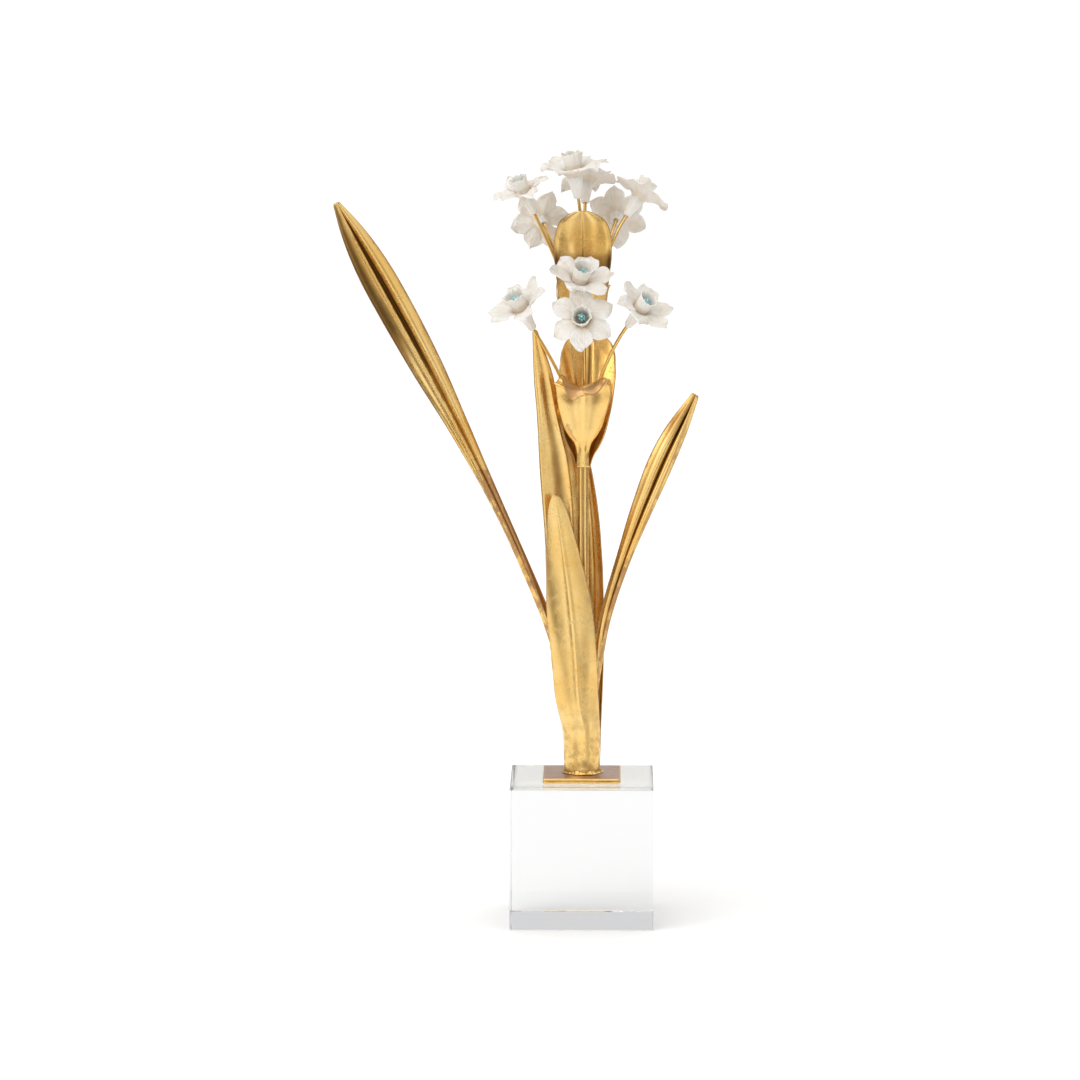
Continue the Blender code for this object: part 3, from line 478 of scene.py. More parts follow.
def gold_leaf(nodes, colours):
    """Burnished leaf: cloudy gold, brushed streaks, short cracks, dirt at the foot. Its grooves are browner,
    partly antique toning and partly painted shade, and painted patches give it painted shade and dark
    reflections.
    """
    place = nodes.place()
    sheet = nodes.sheet()
    groove = nodes.field("groove")
    worn = nodes.field("worn")
    clouds = nodes.noise(place, 22.0, 5.0, 0.6)
    mottle = nodes.noise(place, 170.0, 8.0, 0.66)
    grain = nodes.noise(place, 1400.0, 3.0, 0.6)
    streaks = nodes.noise(nodes.stretched(sheet, (1900.0, 55.0, 1.0)), 1.0, 4.0, 0.6)
    brushed = nodes.noise(nodes.stretched(sheet, (260.0, 3200.0, 1.0), 0.62), 1.0, 3.0, 0.6)
    cells = nodes.add("ShaderNodeTexVoronoi", {
        "Vector": nodes.stretched(place, (1.0, 1.0, 0.55)), "Scale": 420.0}, feature="DISTANCE_TO_EDGE")
    where = nodes.times(nodes.ramp(nodes.noise(place, 38.0, 3.0), 0.53, 0.62),
                        nodes.ramp(nodes.noise(place, 620.0, 2.0), 0.50, 0.58))
    cracked = nodes.times(nodes.ramp(cells.outputs["Distance"], 0.0, 0.045, 1.0, 0.0), where)
    foot = nodes.times(nodes.ramp(nodes.axes(place)["Z"], 0.080, 0.125, 1.0, 0.0),
                       nodes.ramp(mottle, 0.42, 0.62))
    # Browner in the grooves and the painted patches: partly antique toning, partly painted shade and painted
    # dark reflection.
    wash_and_shade = nodes.times(nodes.ramp(groove, 0.1, 0.95, 0.0, 0.9), nodes.ramp(mottle, 0.2, 0.6, 0.75, 1.0))
    bare = nodes.maths("ADD", worn, nodes.ramp(mottle, 0.35, 0.65, -0.30, 0.22))
    bare = nodes.times(nodes.ramp(bare, 0.30, 0.72, 0.0, 0.85), nodes.ramp(worn, 0.02, 0.15))
    rubbed = nodes.times(nodes.ramp(nodes.field("edge"), 0.94, 0.995), nodes.ramp(mottle, 0.30, 0.52))
    dull = nodes.maths("MAXIMUM", nodes.maths("MAXIMUM", wash_and_shade, foot), bare)
    return {
        "Base Color": nodes.coated(
            colours.gold,
            (nodes.ramp(clouds, 0.36, 0.66), colours.pale_gold),
            (nodes.ramp(mottle, 0.58, 0.82, 0.0, 0.22), colours.patina_and_shade_colour),
            (nodes.ramp(streaks, 0.55, 0.80, 0.0, 0.10), colours.patina_and_shade_colour),
            # Painted shade: the grooves' brown and the painted patches, and near-black brown painted shade in
            # the deepest grooves.
            (wash_and_shade, colours.patina_and_shade_colour),
            (nodes.ramp(groove, 0.85, 1.2, 0.0, 0.9), colours.umber_and_shade),
            (bare, colours.bole),
            (nodes.times(foot, 0.6), FOOT_DIRT),
            (nodes.times(cracked, 0.42), colours.patina_and_shade_colour),
            (nodes.times(rubbed, 0.6), colours.bole)),
        "Roughness": nodes.maths("ADD", nodes.ramp(mottle, 0.35, 0.75, 0.21, 0.32), nodes.times(dull, 0.10)),
        "Metallic": 1.0,
        "Normal": nodes.bumped((mottle, 3e-5, 0.3), (streaks, 1e-5, 0.4), (brushed, 1e-5, 0.35),
                               (grain, 6e-6, 0.25), (cracked, -5e-5, 0.6)),
    }


def bisque_porcelain(nodes, colours):
    """Matte porcelain: a little light in depth, warmer in random clouds, painted shade in the throat, creases
    and folds, faint veins.
    """
    place = nodes.place()
    clouds = nodes.noise(place, 110.0, 4.0, 0.55)
    grain = nodes.noise(place, 2600.0, 4.0, 0.65)
    veins = nodes.noise(nodes.stretched(nodes.sheet(), (1500.0, 60.0, 1.0)), 1.0, 3.0, 0.55)
    return {
        "Base Color": nodes.coated(
            colours.porcelain,
            (nodes.ramp(clouds, 0.35, 0.72, 0.0, 0.35), colours.porcelain_tone_and_shade),
            # Painted shade in the throat, the cup's creases and the tepals' feet, keels, veins and dents.
            (nodes.ramp(nodes.field("groove"), 0.1, 1.0, 0.0, 0.65), colours.porcelain_tone_and_shade)),
        "Roughness": nodes.ramp(grain, 0.3, 0.7, 0.5, 0.66),
        "Specular IOR Level": 0.45,
        "Subsurface Weight": 0.18,
        "Subsurface Radius": (1.0, 0.75, 0.5),
        "Subsurface Scale": 0.0018,
        "Normal": nodes.bumped((veins, 1e-4, 0.55), (grain, 2e-5, 0.5)),
    }


def turquoise_glaze(nodes, colours):
    """Glazed turquoise, paler and chalky where the glaze has run off."""
    clouds = nodes.noise(nodes.place(), 900.0, 4.0, 0.6)
    pale = [0.40 * value + 0.56 for value in colours.turquoise]
    return {
        "Base Color": nodes.coated(colours.turquoise, (nodes.ramp(clouds, 0.42, 0.68), pale)),
        "Roughness": nodes.ramp(clouds, 0.4, 0.7, 0.22, 0.5),
        "Normal": nodes.bumped((clouds, 1e-4, 0.4)),
    }


def clear_crystal(nodes, colours):
    """Polished clear block, with the faint smears that hands leave on it."""
    smears = nodes.noise(nodes.stretched(nodes.place(), (18.0, 18.0, 50.0)), 1.0, 5.0, 0.6)
    return {
        "Base Color": (0.872, 0.876, 0.888, 1.0),
        "Transmission Weight": 1.0,
        "IOR": 1.49,
        "Roughness": nodes.ramp(smears, 0.45, 0.8, 0.0, 0.035),
    }


def plate_gold(nodes, colours):
    """The plate's top is rubbed to a rosy, satin gold; its edge keeps the yellow leaf, with a dark seam."""
    place = nodes.place()
    up = nodes.axes(nodes.add("ShaderNodeNewGeometry").outputs["Normal"])["Z"]
    mottle = nodes.noise(place, 240.0, 7.0, 0.62)
    streaks = nodes.noise(nodes.stretched(place, (60.0, 900.0, 60.0)), 1.0, 4.0, 0.6)
    rosy = nodes.coated((0.46, 0.30, 0.215), (nodes.ramp(streaks, 0.3, 0.7), (0.51, 0.35, 0.255)))
    return {
        "Base Color": nodes.coated(
            colours.gold,
            (nodes.ramp(mottle, 0.35, 0.7), colours.pale_gold),
            (nodes.ramp(up, 0.75, 0.97), rosy),
            (nodes.times(nodes.field("groove"), 0.85), colours.patina_and_shade_colour)),
        "Roughness": nodes.ramp(mottle, 0.3, 0.7, 0.3, 0.46),
        "Metallic": 1.0,
        "Normal": nodes.bumped((mottle, 1e-4, 0.5), (streaks, 3e-5, 0.2)),
    }


def pale_floor(nodes, colours):
    """Plain pale floor with a faint even glow, and a painted glow under the clear block that stands in for the
    light the block lets through.
    """
    place = nodes.place()
    axes = nodes.axes(place)
    reach = nodes.maths("MAXIMUM", nodes.maths("ABSOLUTE", axes["X"]), nodes.maths("ABSOLUTE", axes["Y"]))
    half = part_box("clear_block")[1].x
    shade = nodes.ramp(nodes.noise(place, 0.8, 3.0), 0.3, 0.7)
    return {
        "Base Color": nodes.coated((0.94, 0.94, 0.94), (shade, (0.96, 0.96, 0.96))),
        "Roughness": 0.9,
        "Specular IOR Level": 0.1,
        # Painted light: the floor glows warm under the clear block, standing in for the light that the block
        # lets through.
        "Emission Color": (0.99, 0.965, 0.84, 1.0),
        "Emission Strength": nodes.ramp(reach, half - 2.0 * MM, half, 0.80, 0.10),
    }


def brown_cloth(nodes, colours):
    """Plain brown cloth."""
    return {"Base Color": (0.11, 0.066, 0.032, 1.0), "Roughness": 1.0}


def keyed(keys, places):
    """Values at places on a smooth curve through keys of (place, value, ...), one row for each place."""
    keys = np.array(keys, dtype=float)
    knots, values = keys[:, 0], keys[:, 1:]
    slopes = np.gradient(values, knots, axis=0)
    places = np.clip(np.atleast_1d(places), knots[0], knots[-1])
    index = np.clip(np.searchsorted(knots, places, side="right") - 1, 0, len(knots) - 2)
    step = (knots[index + 1] - knots[index])[:, None]
    u = (places - knots[index])[:, None] / step
    rise = values[index + 1] - values[index]
    start = slopes[index] * step
    end = slopes[index + 1] * step
    return values[index] + u * start + u ** 2 * (3 * rise - 2 * start - end) + u ** 3 * (start + end - 2 * rise)


def unit(vectors):
    """Vectors made one unit long."""
    return vectors / np.maximum(np.linalg.norm(vectors, axis=-1, keepdims=True), 1e-12)


def window(values, first, last, soft):
    """1 between first and last, falling smoothly to 0 over soft on either side."""
    up = np.clip((values - first) / soft, 0.0, 1.0)
    down = np.clip((last - values) / soft, 0.0, 1.0)
    return up * up * (3 - 2 * up) * down * down * (3 - 2 * down)


def wander(seed, values, scale):
    """A smooth random value between about -1 and 1 for each of a row of values."""
    return np.array([noise.noise(Vector((value * scale, seed * 7.31, 1.7))) for value in values])


def painted(patches, along, across, soft):
    """Soft patches of (place across, spread, strength, first and last place along), added up."""
    total = np.zeros((len(along), across.shape[1]))
    for place, spread, strength, first, last in patches:
        bell = np.exp(-((across - place) / spread) ** 2)
        total += strength * bell * window(along, first, last, soft)[:, None]
    return total


def grid_places(rows, columns, crowding):
    """Places along a grid from 0 to 1, crowded towards 1, and across it from -1 to 1."""
    along = 1.0 - (1.0 - np.linspace(0.0, 1.0, rows + 1)) ** crowding
    return along, np.linspace(-1.0, 1.0, columns + 1)[None, :]


def flat_map(across, line):
    """A grid's map in metres: across it, and along the line of its middle."""
    steps = np.linalg.norm(np.diff(line, axis=0), axis=1)
    run = np.concatenate([[0.0], np.cumsum(steps)])[:, None]
    return np.stack([across, run * np.ones_like(across)], axis=2)


def blade_grid(shape, rows, columns, wave, seed):
    """Points of a blade's middle surface, the fields that its finish reads and its map."""
    along, across = grid_places(rows, columns, 1.15)
    spine = keyed(shape["spine"], along) * MM
    rise = unit(keyed(shape["spine"], along + 0.004) - keyed(shape["spine"], along - 0.004))
    turn = np.radians(keyed(shape.get("turn", LEVEL), along))[:, 0]
    side = np.stack([np.cos(turn), np.sin(turn), np.zeros_like(turn)], axis=1)
    side = unit(side - rise * np.sum(side * rise, axis=1, keepdims=True))
    front = np.cross(side, rise)[:, None, :]
    half = 0.5 * keyed(shape["width"], along) * MM * (1.0 + 0.012 * wander(seed, along, 14.0)[:, None])
    radius = 2.0 * half / np.radians(keyed(shape["wrap"], along))
    angle = across * half / radius
    depth = painted(shape["folds"], along, across, 0.12) * half / FOLD_HALF_WIDTH
    back = radius * (1.0 - np.cos(angle)) + depth
    points = (spine[:, None, :] + side[:, None, :] * (radius * np.sin(angle))[:, :, None]
              - front * back[:, :, None])
    lift = keyed(shape.get("lift", LEVEL), along) * MM
    points[:, :, 2] += np.where(across < 0.0, lift[:, 0:1], lift[:, 1:2]) * across ** 2
    points[:, :, 2] -= lift[:, 2:3] * (np.clip(across - 0.72, 0.0, 1.0) / 0.28) ** 2
    stray = np.array([[noise.noise(Vector(point) * 55.0 + Vector((seed, 0.0, 0.0))) for point in row]
                      for row in points])
    calm = window(along, 0.02, 1.1, 0.08)[:, None]
    points = points + front * (stray * wave * calm)[:, :, None]
    fields = {
        # The grooves' brown grows with their depth, partly antique toning and partly painted shade; the painted
        # patches of shade and dark reflection add to it.
        "groove": np.clip(
            np.maximum(depth, 0.0) / FULL_WASH_DEPTH + painted(shape["painted_shade"], along, across, 0.10), 0.0, 1.3),
        "edge": np.maximum(np.abs(across), window(along, 0.97, 2.0, 0.03)[:, None]),
        "worn": np.clip(painted(shape.get("worn", []), along, across, 0.05), 0.0, 1.0),
    }
    return points, fields, flat_map(across * half, spine)


def shell_mesh(name, points, faces, fields=None, uv=None):
    """A smooth mesh of closed shells that face outwards, with the fields and the map for its finish."""
    mesh = bpy.data.meshes.new(name)
    mesh.from_pydata(points.reshape(-1, 3).tolist(), [], faces)
    for field, values in (fields or {}).items():
        attribute = mesh.attributes.new(field, "FLOAT", "POINT")
        attribute.data.foreach_set("value", values.reshape(-1).astype(np.float32))
    if uv is not None:
        corners = np.zeros(len(mesh.loops), dtype=np.int32)
        mesh.loops.foreach_get("vertex_index", corners)
        layer = mesh.uv_layers.new(name="sheet")
        layer.data.foreach_set("uv", uv.reshape(-1, 2)[corners].reshape(-1).astype(np.float32))
    edit_mesh(mesh, lambda form: bmesh.ops.recalc_face_normals(form, faces=form.faces))
    mesh.shade_smooth()
    return mesh


def edit_mesh(mesh, *steps):
    """Change a mesh by steps that each take its editable form."""
    form = bmesh.new()
    form.from_mesh(mesh)
    for step in steps:
        step(form)
    form.to_mesh(mesh)
    form.free()


def sheet_mesh(name, points, thickness, fields, uv):
    """A closed sheet with a rounded rim round a grid of middle points, with the fields for its finish."""
    rows, columns = points.shape[:2]
    normals = unit(np.cross(np.gradient(points, axis=1), np.gradient(points, axis=0)))
    half = 0.5 * thickness * np.ones((rows, columns))
    lift = normals * half[:, :, None]
    count = rows * columns
    index = np.arange(count).reshape(rows, columns)
    rim = np.concatenate([index[0, :-1], index[:-1, -1], index[-1, :0:-1], index[:0:-1, 0]])
    inner = np.clip(np.stack([rim // columns, rim % columns], axis=1), [1, 1], [rows - 2, columns - 2])
    flat = points.reshape(-1, 3)
    outward = unit(flat[rim] - points[inner[:, 0], inner[:, 1]])
    middle = flat[rim] + outward * half.reshape(-1)[rim][:, None]
    quads = np.stack([index[:-1, :-1], index[:-1, 1:], index[1:, 1:], index[1:, :-1]], axis=2).reshape(-1, 4)
    ring = np.arange(len(rim)) + 2 * count
    after = np.roll(ring, -1)
    next_rim = np.roll(rim, -1)
    faces = np.concatenate([quads[:, [0, 3, 2, 1]], quads + count,
                            np.stack([rim, next_rim, after, ring], axis=1),
                            np.stack([ring, after, next_rim + count, rim + count], axis=1)])
    source = np.concatenate([np.arange(count), np.arange(count), rim])
    kept = {field: values.reshape(-1)[source] for field, values in fields.items()}
    shell = np.concatenate([(points + lift).reshape(-1, 3), (points - lift).reshape(-1, 3), middle])
    return shell_mesh(name, shell, faces.tolist(), kept, uv.reshape(-1, 2)[source])


def turned_mesh(name, points, deep, uv):
    """A closed body from rings of points: the first and last rings are capped."""
    index = np.arange(points[:, :, 0].size).reshape(points.shape[:2])
    after = np.roll(index, -1, axis=1)
    faces = np.stack([index[:-1], index[1:], after[1:], after[:-1]], axis=2).reshape(-1, 4).tolist()
    faces += [index[0].tolist(), index[-1][::-1].tolist()]
    return shell_mesh(name, points, faces, {"groove": deep}, uv)


def add_piece(node, made, mesh, finish):
    """A finished piece in place of a node's solids, on the ornament's one body."""
    mesh.name = f"{node}_{made}"
    mesh.materials.clear()
    mesh.materials.append(finish)
    piece = bpy.data.objects.new(mesh.name, mesh)
    bpy.context.scene.collection.objects.link(piece)
    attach(piece, BODY)
    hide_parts(node)


def joined_mesh(meshes):
    """One mesh that holds several closed shells, with their fields and maps."""
    parts = []
    for mesh in meshes:
        part = bpy.data.objects.new("part", mesh)
        bpy.context.scene.collection.objects.link(part)
        parts.append(part)
    with bpy.context.temp_override(active_object=parts[0], selected_editable_objects=parts):
        bpy.ops.object.join()
    mesh = parts[0].data
    bpy.data.objects.remove(parts[0], do_unlink=True)
    return mesh


def new_tree(name, **inputs):
    """The nodes and the inputs of a new Geometry Nodes tree, whose inputs are given by their kind."""
    tree = bpy.data.node_groups.new(name, "GeometryNodeTree")
    for kind, labels in (("Geometry", ["Geometry"]), *inputs.items()):
        for label in labels:
            tree.interface.new_socket(label, in_out="INPUT", socket_type=f"NodeSocket{kind}")
    tree.interface.new_socket("Geometry", in_out="OUTPUT", socket_type="NodeSocketGeometry")
    nodes = Nodes(tree)
    return nodes, nodes.add("NodeGroupInput").outputs


def ended_tree(nodes, geometry, material):
    """End a tree in Realize Instances and Set Material."""
    real = nodes.add("GeometryNodeRealizeInstances", {"Geometry": geometry}).outputs["Geometry"]
    paint = nodes.add("GeometryNodeSetMaterial", {"Geometry": real, "Material": material}).outputs["Geometry"]
    nodes.add("NodeGroupOutput", {"Geometry": paint})
    return nodes.tree


def ribbed_wire():
    """A wire of ribbed and slightly uneven section along a curve."""
    nodes, given = new_tree(
        "ribbed_wire", Int=["Ribs", "Sides"], Material=["Material"],
        Float=["Half Width", "Half Depth", "Rib Height", "Step", "Unevenness", "Seed"])
    path = nodes.add("GeometryNodeResampleCurve", {"Curve": given["Geometry"], "Length": given["Step"]},
                     mode="LENGTH")
    ring = nodes.add("GeometryNodeCurvePrimitiveCircle", {"Radius": 1.0, "Resolution": given["Sides"]},
                     mode="RADIUS")
    place = nodes.add("GeometryNodeInputPosition").outputs["Position"]
    axes = nodes.axes(place)
    angle = nodes.maths("ARCTAN2", axes["Y"], axes["X"])
    wave = nodes.maths("COSINE", nodes.times(angle, given["Ribs"]))
    rib = nodes.times(wave, given["Rib Height"])
    section = nodes.add("ShaderNodeCombineXYZ", {
        "X": nodes.times(axes["X"], nodes.maths("ADD", given["Half Width"], rib)),
        "Y": nodes.times(axes["Y"], nodes.maths("ADD", given["Half Depth"], rib))})
    # Browner in the valleys between the ribs, partly antique toning and partly painted shade.
    valley = nodes.add("GeometryNodeStoreNamedAttribute", {
        "Geometry": ring.outputs["Curve"], "Name": "groove",
        "Value": nodes.ramp(wave, -1.0, 0.4, 0.75, 0.10)}, data_type="FLOAT", domain="POINT")
    shaped = nodes.add("GeometryNodeSetPosition", {
        "Geometry": valley.outputs["Geometry"], "Position": section.outputs[0]})
    sweep = nodes.add("GeometryNodeCurveToMesh", {
        "Curve": path.outputs["Curve"], "Profile Curve": shaped.outputs["Geometry"], "Fill Caps": True})
    rough = nodes.add("ShaderNodeTexNoise", {"Vector": place, "W": given["Seed"], "Scale": 260.0},
                      noise_dimensions="4D")
    level = nodes.times(nodes.maths("SUBTRACT", rough.outputs["Fac"], 0.5), given["Unevenness"])
    normal = nodes.add("GeometryNodeInputNormal").outputs["Normal"]
    push = nodes.add("ShaderNodeVectorMath", {"Vector": normal, "Scale": level}, operation="SCALE")
    uneven = nodes.add("GeometryNodeSetPosition", {
        "Geometry": sweep.outputs["Mesh"], "Offset": push.outputs["Vector"]})
    smooth = nodes.add("GeometryNodeSetShadeSmooth", {"Geometry": uneven.outputs["Geometry"]})
    return ended_tree(nodes, smooth.outputs["Geometry"], given["Material"])


def stamen_ring():
    """A ring of leaning stamens round a style, each a filament with its anther, on a small disc."""
    nodes, given = new_tree(
        "stamen_ring", Int=["Count", "Seed"], Float=["Ring Radius", "Length", "Lean"], Material=["Material"])
    ring = nodes.add("GeometryNodeMeshCircle", {"Vertices": given["Count"], "Radius": given["Ring Radius"]})
    filament = nodes.add("GeometryNodeMeshCone", {
        "Vertices": 8, "Radius Top": 0.22 * MM, "Radius Bottom": 0.34 * MM,
        "Depth": nodes.times(given["Length"], 0.7)})
    anther = nodes.add("GeometryNodeMeshUVSphere", {"Segments": 12, "Rings": 10, "Radius": 0.85 * MM})
    lift = nodes.add("ShaderNodeCombineXYZ", {"Z": nodes.times(given["Length"], 0.8)})
    grown = nodes.add("GeometryNodeTransform", {
        "Geometry": anther.outputs["Mesh"], "Scale": (0.8, 0.8, 2.0), "Translation": lift.outputs[0]})
    stamen = nodes.joined(filament.outputs["Mesh"], grown.outputs["Geometry"])
    axes = nodes.axes(nodes.add("GeometryNodeInputPosition").outputs["Position"])
    lean = nodes.add("ShaderNodeCombineXYZ", {
        "Y": given["Lean"], "Z": nodes.maths("ARCTAN2", axes["Y"], axes["X"])})
    size = nodes.add("FunctionNodeRandomValue", {2: 0.82, 3: 1.12, "Seed": given["Seed"]}, data_type="FLOAT")
    around = nodes.add("GeometryNodeInstanceOnPoints", {
        "Points": ring.outputs["Mesh"], "Instance": stamen, "Rotation": lean.outputs[0],
        "Scale": size.outputs[1]})
    style = nodes.add("GeometryNodeTransform", {"Geometry": stamen, "Scale": (1.15, 1.15, 1.12)})
    disc = nodes.add("GeometryNodeMeshCone", {
        "Vertices": 20, "Radius Top": 0.9 * MM, "Radius Bottom": 1.4 * MM, "Depth": 0.8 * MM})
    whole = nodes.joined(around.outputs["Instances"], style.outputs["Geometry"], disc.outputs["Mesh"])
    return ended_tree(nodes, whole, given["Material"])


def grown_mesh(base, make, values):
    """The plain mesh that a function's Geometry Nodes tree makes of some data, whose object is removed."""
    tree = bpy.data.node_groups.get(make.__name__) or make()
    base = bpy.data.objects.new("base", base)
    bpy.context.scene.collection.objects.link(base)
    modifier = base.modifiers.new("grow", "NODES")
    modifier.node_group = tree
    sockets = {item.name: item.identifier for item in tree.interface.items_tree if item.in_out == "INPUT"}
    for label, value in values.items():
        modifier[sockets[label]] = value
    bpy.context.view_layer.update()
    graph = bpy.context.evaluated_depsgraph_get()
    mesh = bpy.data.meshes.new_from_object(base.evaluated_get(graph))
    bpy.data.objects.remove(base, do_unlink=True)
    edit_mesh(mesh, lambda form: bmesh.ops.remove_doubles(form, verts=form.verts, dist=1e-6),
              lambda form: bmesh.ops.recalc_face_normals(form, faces=form.faces))
    return mesh


def add_wire(node, points, seed, section):
    """A gilded wire along points."""
    curve = bpy.data.curves.new("path", "CURVE")
    curve.dimensions = "3D"
    line = curve.splines.new("POLY")
    line.points.add(len(points) - 1)
    for index, point in enumerate(points):
        line.points[index].co = (*point, 1.0)
    gold = finish_of(gold_leaf)
    mesh = grown_mesh(curve, ribbed_wire, {**section, "Seed": float(seed), "Material": gold})
    add_piece(node, "gilded", mesh, gold)


class PAPERWHITE_OT_leaves(Operator):
    """Build the five gilded leaves"""
    bl_idname = "paperwhite.leaves"
    bl_label = "Leaves"

    def execute(self, context):
        sheets = context.scene.paperwhite.sheets
        for seed, (name, shape) in enumerate(LEAVES.items()):
            points, fields, uv = blade_grid(
                shape, sheets.leaf_rows, sheets.leaf_columns, sheets.hand_wave, seed)
            mesh = sheet_mesh(name, points, sheets.leaf_thickness, fields, uv)
            add_piece(name, "gilded", mesh, finish_of(gold_leaf))
        return {"FINISHED"}


class PAPERWHITE_OT_bracts(Operator):
    """Build the four gilded bracts"""
    bl_idname = "paperwhite.bracts"
    bl_label = "Bracts"

    def execute(self, context):
        sheets = context.scene.paperwhite.sheets
        for seed, (name, shape) in enumerate(BRACTS.items(), start=10):
            points, fields, uv = blade_grid(
                shape, sheets.bract_rows, sheets.bract_columns, sheets.hand_wave, seed)
            mesh = sheet_mesh(name, points, sheets.bract_thickness, fields, uv)
            mesh.transform(head_matrix(name.split("_")[0]))
            add_piece(name, "gilded", mesh, finish_of(gold_leaf))
        return {"FINISHED"}


def head_matrix(head):
    """Where a head's bracts stand: on the stem's top, along the stem, turned round on the rear one."""
    foot, top = (Vector(point) * MM for point in STEMS[head])
    lean = Vector((0.0, 0.0, 1.0)).rotation_difference(top - foot).to_matrix().to_4x4()
    half_turn = Matrix.Rotation(math.pi if head == "rear" else 0.0, 4, "Z")
    return Matrix.Translation(top) @ lean @ half_turn


class PAPERWHITE_OT_stems(Operator):
    """Build the two ribbed stems"""
    bl_idname = "paperwhite.stems"
    bl_label = "Stems"

    def execute(self, context):
        wires = context.scene.paperwhite.wires
        for seed, (head, ends) in enumerate(STEMS.items()):
            add_wire(f"{head}_stem", [Vector(point) * MM for point in ends], seed, {
                "Half Width": wires.stem_half_width, "Half Depth": wires.stem_half_depth,
                "Ribs": wires.stem_ribs, "Rib Height": wires.rib_height, "Sides": 72, "Step": 2.0 * MM,
                "Unevenness": 0.16 * MM})
        return {"FINISHED"}


def pedicel_path(spec, points):
    """Points from the top of a stem into the socket in the foot of a bloom."""
    head, step, foot, facing = spec[:4]
    out = Vector(facing).normalized()
    start = Vector(STEMS[head][1]) * MM + Vector((*step, PEDICEL_SEAT)) * MM
    end = Vector(foot) * MM + out * (SOCKET_DEPTH - SOCKET_GAP) * MM
    bent = Vector(foot) * MM - out * STRAIGHT_END * MM
    reach = bent - start
    lean = Vector((0.34 * reach.x, 0.2 * reach.y, reach.z)).normalized()
    handle_start = start + lean * 0.42 * reach.length
    handle_end = bent - out * (0.08 + 0.14 * out.dot(reach.normalized())) * reach.length
    places = []
    for index in range(points - 1):
        t = index / (points - 2)
        places.append(start * (1 - t) ** 3 + handle_start * 3 * t * (1 - t) ** 2
                      + handle_end * 3 * t * t * (1 - t) + bent * t ** 3)
    return places + [end]


class PAPERWHITE_OT_pedicels(Operator):
    """Build the wires that carry the blooms"""
    bl_idname = "paperwhite.pedicels"
    bl_label = "Pedicels"

    def execute(self, context):
        radius = context.scene.paperwhite.wires.pedicel_radius
        for seed, (name, spec) in enumerate(BLOOMS.items(), start=5):
            add_wire(f"{name}_pedicel", pedicel_path(spec, 40), seed, {
                "Half Width": radius, "Half Depth": radius, "Ribs": 3, "Rib Height": 0.04 * MM, "Sides": 20,
                "Step": 1.2 * MM, "Unevenness": 0.14 * MM})
        return {"FINISHED"}


def placement(foot, facing, roll):
    """The matrix that stands a bloom's axis on its foot in the direction that it faces."""
    turn = Vector(facing).normalized().to_track_quat("Z", "Y").to_matrix().to_4x4()
    return Matrix.Translation(Vector(foot) * MM) @ turn @ Matrix.Rotation(math.radians(roll), 4, "Z")


def core_mesh(draw, settings):
    """A bloom's tube and frilled cup, with its throat and the socket in its foot."""
    rings, sides = 84, 112
    outline = keyed(CORE_OUTLINE, np.linspace(0.0, 1.0, rings))
    socket = np.array([(1.2, 0.0), (1.2, SOCKET_DEPTH), (0.05, SOCKET_DEPTH)])
    outline = np.concatenate([outline, socket]) * MM
    radius, height = outline[:, 0:1], outline[:, 1:2]
    angle = np.linspace(0.0, 2.0 * math.pi, sides, endpoint=False)[None, :]
    rise = np.clip((height - settings.tube_length) / (9.6 * MM), 0.0, 1.0)
    frill = np.zeros((1, sides))
    lift = np.zeros((1, sides))
    for waves, size in FRILL_WAVES:
        frill = frill + size * draw.uniform(0.5, 1.0) * np.cos(waves * angle + draw.uniform(0.0, 6.28))
        lift = lift + 0.34 * MM * draw.uniform(0.3, 1.0) * np.cos(waves * angle + draw.uniform(0.0, 6.28))
    turn = draw.uniform(0.0, 6.28)
    pleats = np.abs(np.cos(6.0 * angle + turn + 1.2 * rise)) ** 0.7 - 0.6
    folds = (0.045 * pleats + 0.012 * np.cos(31.0 * angle + turn)) * np.clip(2.5 * rise, 0.0, 1.0)
    ribs = 0.06 * np.cos(6.0 * angle) + 0.025 * np.cos(18.0 * angle)
    lower = window(height, 1.5 * MM, settings.tube_length, 3.0 * MM)
    outside = (np.arange(len(outline))[:, None] > 0.47 * rings).astype(float)
    swell = radius * (1.0 + frill * rise ** 1.5 + folds + ribs * lower * outside)
    points = np.stack([swell * np.cos(angle), swell * np.sin(angle), height + lift * rise ** 2], axis=2)
    # Painted shade, warmer and darker, in the throat, round the tube's waist and in the creases of the cup.
    throat = window(height, 11.0 * MM, 19.5 * MM, 4.0 * MM) * (1.0 - outside)
    waist = window(height, 13.5 * MM, 18.5 * MM, 1.5 * MM) * outside
    creases = np.clip(0.35 - pleats, 0.0, 1.0) * rise
    deep = np.clip(0.3 * throat + 0.9 * waist + 0.5 * creases, 0.0, 1.0)
    return turned_mesh("core", points, deep, flat_map(radius * angle, outline))


